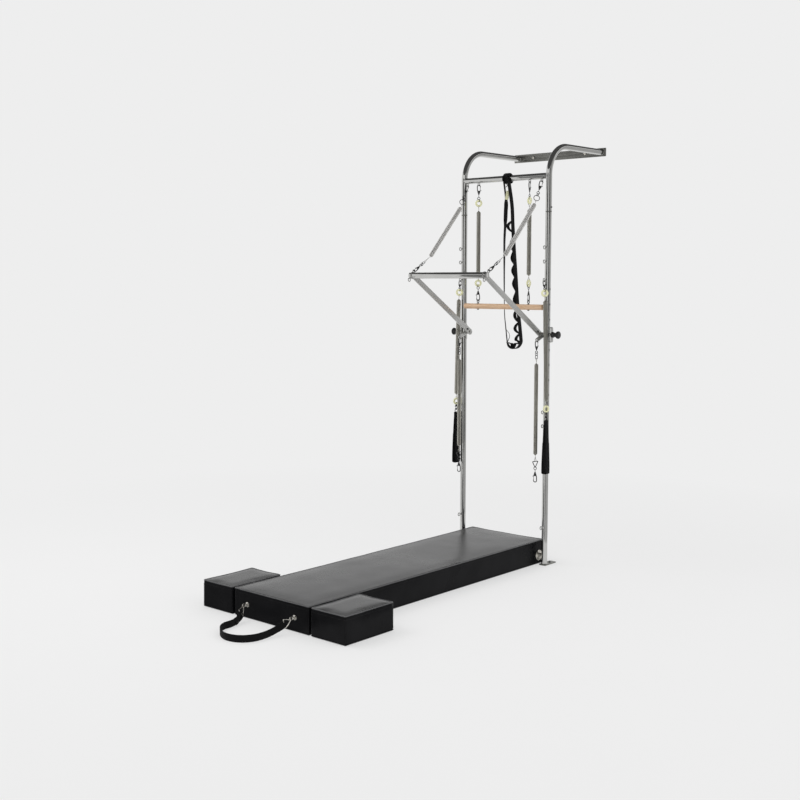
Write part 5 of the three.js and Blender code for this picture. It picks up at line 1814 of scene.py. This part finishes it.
@dataclass
class Spring:
    """A close-wound spring with a hook loop at each end."""

    name: str
    node: str
    bodies: tuple[str, str]
    start: Vector
    end: Vector
    radius: float
    upper: tuple[Vector, Vector]
    lower: tuple[Vector, Vector]
    upper_radius: float
    lower_radius: float
    wire: float = 0.0014
    loop_radius: float = 0.0068
    pitch_share: float = 2.06
    narrow_share: float = 0.3
    narrow_turns: float = 3.6
    polished: bool = False

    def loop(
        self, form: Form, coil_end: Vector, outward: Vector, link: tuple[Vector, Vector], link_radius: float
    ) -> None:
        """Adds the wire loop from the coil's end to the link that holds it.

        Args:
            form: The form that takes it.
            coil_end: The middle of the coil's end.
            outward: The way out of the coil there.
            link: The link's middle and the way that its hole faces.
            link_radius: The link's radius to the middle of its wire.
        """
        centre, axis = link
        way = (coil_end - centre).normalized()
        axis = (axis - way * axis.dot(way)).normalized()
        reach = (coil_end - centre).length
        loop_centre = centre + way * (link_radius + self.loop_radius - 0.0034)
        loop_axis = way.cross(axis).normalized()
        round_route = arc(loop_centre, self.loop_radius, 35, 325, 22, way, axis)
        neck = coil_end - outward * 0.004
        near = reach < link_radius + 2 * self.loop_radius
        mid = coil_end if near else loop_centre.lerp(neck, 0.62)
        route = [neck, mid, *round_route, coil_end.lerp(loop_centre, 0.35) - axis * 0.0016]
        form.sweep(smooth_route(route, 0.0012), circle(self.wire, 8), across=loop_axis)

    def make(self, shop: Workshop) -> None:
        """Winds the spring between its ends and adds its loops."""
        way = self.end - self.start
        length = way.length
        turns = length / (self.wire * self.pitch_share)
        # Push springs take the lighter polished copy: partly polish, partly painted highlight.
        finish = shop.finishes.gloss if self.polished else shop.finishes.spring
        mesh = shop.coil.run(
            route_mesh([]), Turns=turns, Radius=self.radius - self.wire, Length=length - 2 * self.wire,
            Wire=self.wire, Narrow=self.narrow_share, End=self.narrow_turns / turns, Material=finish,
        )
        turn = way.to_track_quat("Z", "Y").to_matrix().to_4x4()
        form = Form()
        form.add_mesh(mesh, Matrix.Translation(self.start + way.normalized() * self.wire) @ turn)
        self.loop(form, self.start, -way.normalized(), self.upper, self.upper_radius)
        self.loop(form, self.end, way.normalized(), self.lower, self.lower_radius)
        piece = form.build(self.name, [finish])
        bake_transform(piece)
        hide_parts(self.node)
        LOG.info("%s: %.0f turns, %d faces", self.name, turns, len(piece.data.polygons))


@dataclass
class SpringRun:
    """One spring with the hook chains at both its ends."""

    stem: str
    chain_body: str
    end_body: str
    top_eye: Vector
    coil_start: Vector
    coil_end: Vector
    low_eye: Vector
    radius: float
    top_links: tuple[Link, ...]
    low_links: tuple[Link, ...]
    scales: Pair
    shanks: Pair
    turns: Pair

    def make(self, shop: Workshop) -> None:
        """Builds the hooks first and then the spring between them."""
        top, low = (
            HookChain(f"{self.stem}_{word}_snap", f"{self.stem}_hook_{place}", *rest)
            for word, place, *rest in zip(
                ("top", "low"), ("top", "bottom"), (self.chain_body, self.end_body), (self.top_eye, self.low_eye),
                (self.coil_start, self.coil_end), (self.top_links, self.low_links),
                self.scales, self.shanks, self.turns,
            )
        )
        upper, lower = top.make(shop), low.make(shop)
        LOG.info(
            "%s: %.1f mm from the top link to the coil, %.1f mm below", self.stem,
            1000 * (upper[0] - self.coil_start).length, 1000 * (lower[0] - self.coil_end).length,
        )
        sizes = [LINK_SIZES[links[-1]][0] for links in (self.top_links, self.low_links)]
        Spring(
            f"{self.stem}_coil", f"{self.stem}_spring", (self.chain_body, self.end_body),
            self.coil_start, self.coil_end, self.radius, upper, lower, *sizes, polished="push" in self.stem,
        ).make(shop)


@dataclass
class Springs:
    """All eight springs of the tower."""

    coil_radius: float = 0.013
    short_radius: float = 0.012
    push_coil: Pair = (0.2, 0.775)
    push_sag: float = 0.046
    roll_drop: float = 0.1563
    roll_length: float = 0.386
    leg_coil: Pair = (0.1143, 0.6973)
    leg_top_x: float = 0.315
    leg_eye_z: float = 0.8703
    short_drop: float = 0.1313
    short_length: float = 0.535
    short_tail: float = 0.1603

    def make(self, shop: Workshop) -> None:
        """Builds the springs on both sides."""
        for side in Side:
            for run in (self.push, self.roll, self.leg, self.short):
                run(side).make(shop)

    def push(self, side: Side) -> SpringRun:
        """The spring that holds the push-through bar up."""
        x = side.value * PLAN.outer_eye_x
        top = Vector((x, *PLAN.crossbar_eye))
        y, z = PLAN.push_bar
        turn, reach = radians(PLAN.push_eye_angle), PLAN.push_eye_reach
        low = Vector((x, y + reach * cos(turn), z + reach * sin(turn)))
        chord = low - top
        along = chord.normalized()
        sag = Vector((0, -along.z, along.y)) * self.push_sag
        start, end = (top + chord * share + sag for share in self.push_coil)
        return SpringRun(
            f"{side.word}_push", f"{side.word}_push_chain", f"{side.word}_push_end",
            top, start + along * 0.0003, end - along * 0.0003, low, self.coil_radius,
            (Link.RING, Link.BIG_RING), (Link.RING, Link.OVAL),
            scales=(1.0, 0.9), shanks=(0.012, 0.008), turns=(45, -20),
        )

    def roll(self, side: Side) -> SpringRun:
        """The spring that the roll-down bar hangs from."""
        y, top = PLAN.crossbar_eye
        start = top - self.roll_drop
        places = [Vector((side.value * PLAN.inner_eye_x, y, z)) for z in (top, start, start - self.roll_length)]
        return SpringRun(
            f"{side.word}_roll", "roll_chains", "roll_down", *places,
            Vector((side.value * PLAN.inner_eye_x, y, RollDown.eye_z)), self.coil_radius,
            (Link.RING, Link.YELLOW), (Link.RING, Link.YELLOW), scales=(1.0, 1.0), shanks=(0.014, 0.010),
            turns=(45, -48) if side is Side.LEFT else (-25, 25),
        )

    def leg(self, side: Side) -> SpringRun:
        """The long spring that carries a hand loop."""
        y, top = PLAN.plane_y - PLAN.eye_reach, PLAN.eye_heights[2]
        start, end = (top - drop for drop in self.leg_coil)
        low_x = PLAN.hand_loop_x
        rungs = ((PLAN.upright_x, top), (self.leg_top_x, start), (low_x, end), (low_x, self.leg_eye_z))
        places = [Vector((side.value * x, y, z)) for x, z in rungs]
        return SpringRun(
            f"{side.word}_leg", f"{side.word}_leg_chain", f"{side.word}_leg_end", *places, self.coil_radius,
            (Link.RING, Link.YELLOW), (Link.YELLOW,), scales=(0.66, 0.56), shanks=(0.0, 0.0), turns=(45, -11),
        )

    def short(self, side: Side) -> SpringRun:
        """The free spring below a carriage."""
        out, ahead, down = PLAN.lug
        top = PLAN.pivot_z - down
        start = top - self.short_drop
        end = start - self.short_length
        places = [Vector((side.value * out, PLAN.plane_y - ahead, z)) for z in (top, start, end, end - self.short_tail)]
        return SpringRun(
            f"{side.word}_short", f"{side.word}_short_chain", f"{side.word}_short_end", *places, self.short_radius,
            (Link.RING, Link.OVAL), (Link.TRIANGLE,), scales=(0.9, 1.05), shanks=(0.005, 0.012), turns=(60, -14),
        )


# Straps


@dataclass
class HandLoop:
    """A hand loop: a wide ring, a sewn neck and a webbing loop with a padded grip."""

    side: Side
    top: float = 0.8684
    ring_radius: float = 0.0118
    width: float = 0.035
    thickness: float = 0.0026
    bottom: float = 0.5489
    spread: float = 0.0145
    corner: float = 0.0055
    grip_start: int = 3

    def make(self, shop: Workshop) -> None:
        """Builds the ring, the webbing and the grip."""
        x = self.side.value * PLAN.hand_loop_x
        y = PLAN.plane_y - PLAN.eye_reach
        body = f"{self.side.word}_hand_loop"
        low = self.top - self.ring_radius
        right = [(0.0022, low - 0.014), (0.0034, low - 0.03), (0.0055, low - 0.06), (0.0095, low - 0.13)]
        right += [(0.0128, low - 0.21), (self.spread, low - 0.262)]
        down, up = [Vector((x + dx, y, z)) for dx, z in right], [Vector((x - dx, y, z)) for dx, z in reversed(right)]
        axes = (X, Z)
        foot = []
        for s, start in ((1, 0), (-1, -90)):
            centre = (x + s * (self.spread - self.corner), y, self.bottom + self.corner + self.thickness / 2)
            foot += arc(centre, self.corner, start, start - 90, 6, *axes)
        peak = arc((x, y, low), 0.0034, 160, 20, 6, *axes)
        form = Form()
        across = Y
        route = smooth_route([peak[-1], *down, *foot, *up, *peak[:-1]], 0.006, closed=True)
        form.sweep(route, band(self.width, self.thickness), across=across, closed=True)
        neck = self.width / 2 - 0.001
        form.block((x - 0.0048, y - neck, low - 0.034), (x + 0.0048, y + neck, low - 0.012), 0.0012)
        grip = smooth_route([*down[self.grip_start:], *foot, *up[:-self.grip_start]], 0.005)
        form.sweep(grip, band(self.width + 0.002, self.thickness + 0.0032, 0.9), across=across)
        word = self.side.word
        form.fit(f"{word}_hand_strap", [shop.finishes.webbing], body, Slot.WEBBING, f"{word}_handle")
        ring = Form()
        ring.ring((x, y, self.top), X, self.ring_radius, 0.0024, steps=36)
        ring.fit(f"{self.side.word}_hand_ring", [shop.finishes.zinc], body, Slot.BRIGHT)
        rows = []
        for dy in (-self.width / 2 + 0.003, self.width / 2 - 0.003):
            rows.append([Vector((x + 0.0054, y + dy, low - depth)) for depth in (0.033, 0.013)])
            row = []
            for point in grip:
                out = point.x - x
                outward = (math.copysign(0.0031, out), dy, 0) if abs(out) > 0.004 else (0, dy, -0.0031)
                row.append(point + Vector(outward))
            rows.append(row)
        shop.stitches(f"{self.side.word}_hand_stitches", rows, body, Slot.WEBBING, pitch=0.004, thread=0.0004)


@dataclass
class LoopStrap:
    """The long strap over the crossbar, with small loops sewn along its right-hand branch."""

    width: float = 0.033
    thickness: float = 0.0028
    back: float = 0.02
    back_share: float = 0.6
    turn_x: float = 0.057
    turn_z: float = 1.3105
    turn_radius: float = 0.051
    left: tuple[Pair, ...] = (
        (2.2347, 0.002), (2.13, -0.001), (2.06, -0.005), (1.99, -0.010), (1.90, -0.017), (1.80, -0.0185),
        (1.677, -0.0185), (1.526, -0.016), (1.45, -0.0125), (1.40, -0.006),
    )
    right: tuple[Pair, ...] = (
        (1.40, 0.097), (1.526, 0.080), (1.677, 0.067), (1.827, 0.054), (1.977, 0.045), (2.10, 0.041), (2.2347, 0.039),
    )
    loops: tuple[Triple, ...] = (
        (-0.100, 0.020, 0.075), (-0.030, 0.022, 0.060), (0.030, 0.028, 0.060), (0.094, 0.034, 0.062),
        (0.158, 0.034, 0.066), (0.231, 0.026, 0.075), (0.326, 0.019, 0.085), (0.417, 0.018, 0.080),
        (0.492, 0.018, 0.075), (0.571, 0.017, 0.075), (0.647, 0.020, 0.075), (0.752, 0.034, 0.064),
    )
    twist: tuple[Pair, ...] = (
        (2.30, 112), (2.150, 112), (2.105, 84), (2.03, 86), (1.97, 104), (1.85, 109), (1.68, 116), (1.51, 123),
        (1.30, 119), (1.26, 90),
    )
    turns: tuple[tuple[float, ...], ...] = (
        (0.008, 0.032, 0.0193, 200), (0.028, 0.012, 0.0238, 160), (0.012, 0.024, 0.0290, 215),
    )
    turn_sweep: float = 385

    def at(self, x: float, z: float) -> Vector:
        """A point of the strap, which leans back behind the roll-down bar."""
        top = PLAN.crossbar_z - PLAN.tube_radius - 0.0018
        drop = (top - self.turn_z) * self.back_share
        share = min(1.0, max(0.0, (top - z) / drop))
        return Vector((x, PLAN.plane_y + self.back * share * (2 - share) * 0.98, z))

    def branches(self) -> tuple[list[Vector], list[Vector], list[Vector]]:
        """The left branch downwards, the turn at the bottom and the right branch upwards."""
        ways, radius = [radians(angle) for angle in range(180, 361, 15)], self.turn_radius
        turn = [self.at(self.turn_x + radius * cos(way), self.turn_z + radius * sin(way)) for way in ways]
        return [self.at(x, z) for z, x in self.left], turn, [self.at(x, z) for z, x in self.right]

    def make(self, shop: Workshop) -> None:
        """Builds the wraps, the branches, the sewn loops, the tag and the small ring."""
        left, turn, right = self.branches()
        bar = Vector((0, PLAN.plane_y, PLAN.crossbar_z))
        up_left = [bar + Vector((0.006, -0.0235, 0.010)), bar + Vector((0.003, -0.0225, -0.010))]
        down_right = [bar + Vector((0.037, -0.0225, -0.012)), bar + Vector((0.032, -0.0245, 0.008))]
        route = smooth_route([*up_left, *left[1:], *turn, *right[:-1], *down_right], 0.009)
        count = len(route)
        lowest = min(range(count), key=lambda i: route[i].z)
        turns = [radians(between(route[i].z, self.twist) if i < lowest else 90.0) for i in range(count)]
        across = [Vector((cos(turn), sin(turn), 0)) for turn in turns]
        form = Form()
        form.sweep(route, band(self.width, self.thickness), across=across)
        self.wraps(form, bar)
        for place, bulge, reach in self.loops:
            self.sewn_loop(form, route, lowest, place, bulge, reach)
        form.fit("hanging_strap_band", [shop.finishes.webbing], "hanging_strap", Slot.WEBBING, "loop_strap")
        self.tag(shop, right)
        ring = Form()
        ring.ring((0.018, 0.8905, 2.2125), (0.55, -0.8, 0.2), 0.0098, 0.0019, steps=32)
        ring.fit("strap_ring", [shop.finishes.zinc], "hanging_strap", Slot.BRIGHT)

    def wraps(self, form: Form, bar: Vector) -> None:
        """Adds the turns of webbing round the crossbar."""
        for start, end, radius, phase in self.turns:
            route = []
            for i in range(33):
                share = i / 32
                angle = radians(phase - self.turn_sweep * share)
                reach = radius + 0.0007 * sin(7 * share * pi) + 0.0012 * share
                x = start + (end - start) * share
                route.append(bar + Vector((x, reach * cos(angle), reach * sin(angle))))
            form.sweep(route, band(self.width, self.thickness * 0.9), across=X)

    def sewn_loop(
        self, form: Form, route: Route, lowest: int, place: float, bulge: float, reach: float
    ) -> None:
        """Adds one loop that is sewn to the inner face of the strap at both its ends.

        Args:
            form: The form that takes it.
            route: The strap's middle line.
            lowest: Which of its points is the lowest.
            place: The loop's middle along the strap, from the lowest point upwards on the right.
            bulge: How far it stands off.
            reach: How much of the strap it spans.
        """
        step = (route[lowest + 1] - route[lowest]).length
        stretch = []
        for i in range(15):
            at = lowest + (place + reach * (i / 14 - 0.5)) / step
            low = min(max(int(math.floor(at)), 0), len(route) - 2)
            ahead = (route[low + 1] - route[low]).normalized()
            inward = Vector((-ahead.z, 0, ahead.x))
            t = i / 14
            lean = 0.12 * noise.noise(Vector((place * 31, 7.1, 0)))
            rise = sin(pi * min(max(t + lean * sin(pi * t), 0), 1))
            base = route[low].lerp(route[low + 1], at - low)
            stretch.append(base + inward * (self.thickness * 0.8 + bulge * rise ** (0.8 if bulge > 0.025 else 1.2)))
        across = Vector((-0.62, 0.78, 0)) if place < -0.05 else Y
        form.sweep(stretch, band(self.width * 0.92, self.thickness * 0.7), across=across)

    def tag(self, shop: Workshop, right: Route) -> None:
        """Adds the plain yellow tag that is sewn to the right-hand branch."""
        top = right[-1] + Vector((-0.0150, -0.010, -0.052))
        falls = ((0, 0, 0), (-0.001, 0, -0.012), (-0.0035, -0.001, -0.03), (-0.0065, -0.002, -0.052))
        route = [top + Vector(fall) for fall in falls]
        form = Form()
        form.sweep(smooth_route(route, 0.004), band(0.019, 0.001, 0.6), across=Vector((0.72, 0.69, 0)))
        form.fit("strap_tag", [shop.finishes.yellow], "hanging_strap", Slot.WEBBING)


@dataclass
class FootStrap:
    """The strap on the floor in front of the mat, with its wire clips."""

    width: float = 0.036
    thickness: float = 0.0028
    doubled: int = 14
    stations: tuple[Triple, ...] = (
        (-0.153, -1.020, 0.044), (-0.141, -1.042, 0.031), (-0.126, -1.072, 0.0212), (-0.115, -1.115, 0.0186),
        (-0.112, -1.160, 0.0184), (-0.092, -1.200, 0.0184), (-0.050, -1.238, 0.0184), (0.010, -1.264, 0.0184),
        (0.065, -1.262, 0.0184), (0.110, -1.238, 0.0184), (0.137, -1.195, 0.0184), (0.143, -1.150, 0.0186),
        (0.141, -1.100, 0.0205), (0.145, -1.060, 0.030), (0.151, -1.038, 0.040), (0.157, -1.020, 0.050),
    )

    def make(self, shop: Workshop) -> None:
        """Builds the band, its sewn ends with the tilt of the right-hand one, and the clips."""
        route = smooth_route(self.stations, 0.006)
        count = len(route)
        across = []
        for i in range(count):
            left = max(0.0, 1 - i / 9)
            right = max(0.0, 1 - (count - 1 - i) / 8)
            across.append(Vector((-1.6 * left - 0.35 * right, 0.2 * left, 1)).normalized())
        form = Form()
        form.sweep(route, band(self.width, self.thickness), across=across)
        sewn, tilt = band(self.width * 0.98, self.thickness * 2.1, 0.6), across[-self.doubled:]
        for part in (route[:self.doubled], route[-self.doubled:]):
            form.sweep(part, sewn, across=tilt)
        form.fit("floor_strap_band", [shop.finishes.webbing], "floor_strap", Slot.WEBBING, "foot_strap")
        for side in Side:
            end, wide = (route[0], across[0]) if side is Side.LEFT else (route[-1], across[-1])
            self.clip(shop, side, end, wide)

    def clip(self, shop: Workshop, side: Side, end: Vector, wide: Vector) -> None:
        """One three-cornered wire clip, from the eye in the mat to the bar inside the strap's end.

        Args:
            shop: The finishes and patterns.
            side: The side of the mat.
            end: The middle of the strap's end.
            wide: The way that the strap's width runs there.
        """
        x, y, z = PLAN.mat_eye
        apex = Vector((side.value * x, y - 0.0046, z - 0.003))
        down = (end - apex).normalized()
        narrow = X if wide.x > 0 else -X
        turned = (wide * 0.7 + narrow * 0.3).normalized()
        halves = [[
            apex + narrow * 0.0035 * way, apex + narrow * 0.0055 * way + down * 0.004,
            apex.lerp(end, 0.5) + turned * 0.0125 * way, end + wide * 0.0192 * way - down * 0.002,
            end + wide * 0.0172 * way + down * 0.0018,
        ] for way in (1, -1)]
        form = Form()
        form.sweep(smooth_route([*halves[0], *reversed(halves[1])], 0.002, True), circle(0.0023, 12), closed=True)
        finishes = [shop.finishes.bright]
        form.fit(f"{side.word}_strap_clip", finishes, "floor_strap", Slot.BRIGHT, f"{side.word}_strap_hook")


# The studio


@dataclass(frozen=True)
class Card:
    """A glowing card that only reflections see, a painted reflection: upright at its reach from the tower, or lying
    flat from low to cover at the height high.
    """

    name: str
    reach: float
    start: float
    end: float
    low: float
    high: float
    grey: float
    cover: float = 0.0


@dataclass
class Studio:
    """The floor, the lamps and the camera."""

    place: Triple = (4.1425, -4.7110, 1.6710)
    yaw: float = 41.431
    pitch: float = 5.896
    lens: float = 52.8
    background: float = 0.855
    floor_glow: float = 0.5
    floor_radius: float = 14
    floor_fade: Pair = (1.6, 4.2)
    world_light: float = 0.62
    lamp_aim: Triple = (0, 0.1, 0.9)
    lamp_set: tuple[tuple[str, Triple, float, float], ...] = (
        ("key", (-2.6, -2.4, 4.6), 3.2, 62), ("fill", (4.2, 0.6, 3.4), 2.8, 26),
    )
    # Each card glows at its own grey and only reflections see it: painted reflections that put dark bands and a dark
    # sky into the metal.
    cards: tuple[Card, ...] = (
        Card("left", 12.0, -69, -29, 0.0, 4.6, 0.03),
        Card("right", 4.0, 5, 36, 0.0, 3.8, 0.03),
        Card("side", 4.6, 40, 84, 0.0, 6.0, 0.36),
        Card("rear", 5.5, 100, 128, 0.0, 4.0, 0.5),
        Card("left_mat", 0.0, -70, -36, 0.9, 0.0006, 0.3, 9.0),
        Card("right_mat", 0.0, -7, 25, 0.9, 0.0006, 0.25, 9.0),
        Card("side_mat", 0.0, 32, 128, 0.9, 0.0006, 0.5, 9.0),
        Card("ceiling", 0.0, 0, 360, 0.01, 4.7, 0.08, 5.8),
    )

    def make(self) -> None:
        """Sets up the whole studio."""
        self.camera()
        self.floor()
        self.world()
        self.lamps()
        for card in self.cards:
            self.card(card)
        scene = bpy.context.scene
        scene.view_settings.view_transform = "Standard"

    def camera(self) -> None:
        """The camera at the photograph's place."""
        data = bpy.data.cameras.new("camera")
        data.lens, data.sensor_width, data.clip_end = self.lens, 36, 200
        camera = link("camera", data)
        camera.location = self.place
        camera.rotation_euler = (radians(90 - self.pitch), 0, radians(self.yaw))
        bpy.context.scene.camera = camera

    def floor(self) -> None:
        """A round pale floor that fades into the background far from the object."""
        form = Form()
        form.add([(x, y, 0) for x, y in circle(self.floor_radius, 64)], [list(range(64))])
        recipe = Recipe("pale_floor")
        tones = recipe.blend(recipe.noise(recipe.mapped(), 2, 3), (0.44, 0.44, 0.44), (0.45, 0.45, 0.45))
        recipe.put(
            Base_Color=tones, Roughness=0.9, Specular_IOR_Level=0.0,
            Emission_Color=(1, 1, 1, 1), Emission_Strength=self.floor_glow,
        )
        glow = recipe.node("ShaderNodeEmission", {"Color": (self.background,) * 3 + (1,), "Strength": 1.0})
        place = recipe.coordinates.outputs["Object"]
        distance = recipe.node("ShaderNodeVectorMath", {0: place}, operation="LENGTH").outputs["Value"]
        share = recipe.spread(distance, 0, 1, *self.floor_fade)
        inputs = {0: share, 1: recipe.shader.outputs["BSDF"], 2: glow.outputs["Emission"]}
        mixed = recipe.node("ShaderNodeMixShader", inputs)
        recipe.feed(recipe.tree.nodes["Material Output"].inputs["Surface"], mixed.outputs["Shader"])
        floor = form.build("floor", [recipe.material], smooth=False)
        floor.location.z = -0.0004

    def world(self) -> None:
        """Even light from all round, and the background that camera and metal see."""
        world = bpy.data.worlds.new("studio")
        world.use_nodes = True
        bpy.context.scene.world = world
        world.node_tree.nodes.clear()
        nodes = Nodes(world.node_tree)
        path = nodes.node("ShaderNodeLightPath").outputs
        light = nodes.node("ShaderNodeBackground", {"Color": (1, 1, 1, 1), "Strength": self.world_light})
        seen = nodes.node("ShaderNodeBackground", {"Color": (self.background,) * 3 + (1,)})
        either = nodes.math("MAXIMUM", path["Is Camera Ray"], path["Is Glossy Ray"])
        any_view = nodes.math("MAXIMUM", either, path["Is Transmission Ray"])
        inputs = {0: any_view, 1: light.outputs["Background"], 2: seen.outputs["Background"]}
        mixed = nodes.node("ShaderNodeMixShader", inputs)
        nodes.node("ShaderNodeOutputWorld", {"Surface": mixed.outputs["Shader"]})

    def card(self, card: Card) -> None:
        """One glowing card of a fixed dark grey that only mirrors see, a painted reflection: it stands round the tower,
        or lies over it.
        """
        yaw = radians(self.yaw)
        ahead, beside = Vector((sin(yaw), -cos(yaw), 0)), Vector((cos(yaw), sin(yaw), 0))
        middle = Vector((0, PLAN.plane_y, 0))
        steps = 24
        upright = ((card.reach, card.low), (card.reach, card.high))
        flat = ((card.low, card.high), (card.cover, card.high))
        corners = []
        for reach, z in upright if card.reach else flat:
            for i in range(steps + 1):
                way = radians(card.start + (card.end - card.start) * i / steps)
                corners.append(middle + (ahead * cos(way) + beside * sin(way)) * reach + Vector((0, 0, z)))
        faces = [[i, i + 1, i + steps + 2, i + steps + 1] for i in range(steps)]
        form = Form()
        form.add(corners, faces)
        recipe = Recipe(f"{card.name}_cloth")
        # Painted reflection: the card glows at its grey, which the metal mirrors as a dark band.
        tones = recipe.blend(recipe.noise(recipe.mapped(), 3, 2), (card.grey * 0.92,) * 3, (card.grey,) * 3)
        recipe.put(
            Base_Color=(0.01, 0.01, 0.01, 1), Roughness=1.0, Specular_IOR_Level=0.0,
            Emission_Color=tones, Emission_Strength=1.0,
        )
        piece = form.build(f"{card.name}_card", [recipe.material], smooth=False)
        piece.visible_camera = piece.visible_diffuse = piece.visible_shadow = False

    def lamps(self) -> None:
        """Two large soft lamps."""
        for name, place, size, power in self.lamp_set:
            data = bpy.data.lights.new(name, "AREA")
            data.shape, data.size, data.energy = "SQUARE", size, power
            lamp = link(name, data)
            lamp.location = place
            aim = Vector(self.lamp_aim) - Vector(place)
            lamp.rotation_euler = aim.to_track_quat("-Z", "Y").to_euler()
            lamp.visible_glossy = False


def main() -> None:
    """Builds every sub-assembly in order."""
    logging.basicConfig(level=logging.INFO, format="%(message)s")
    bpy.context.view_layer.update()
    Studio().make()
    shop = Workshop(Finishes.mixed(), CoilPattern(), StitchPattern(), ScrewPattern())
    assemblies = [Mat(), TubeFrame(), Carriage(Side.LEFT), Carriage(Side.RIGHT), PushThrough(), RollDown(), Springs()]
    assemblies += [HandLoop(Side.LEFT), HandLoop(Side.RIGHT), LoopStrap(), FootStrap()]
    for assembly in assemblies:
        assembly.make(shop)
        LOG.info("%s is finished", type(assembly).__name__)


if __name__ == "__main__":
    main()
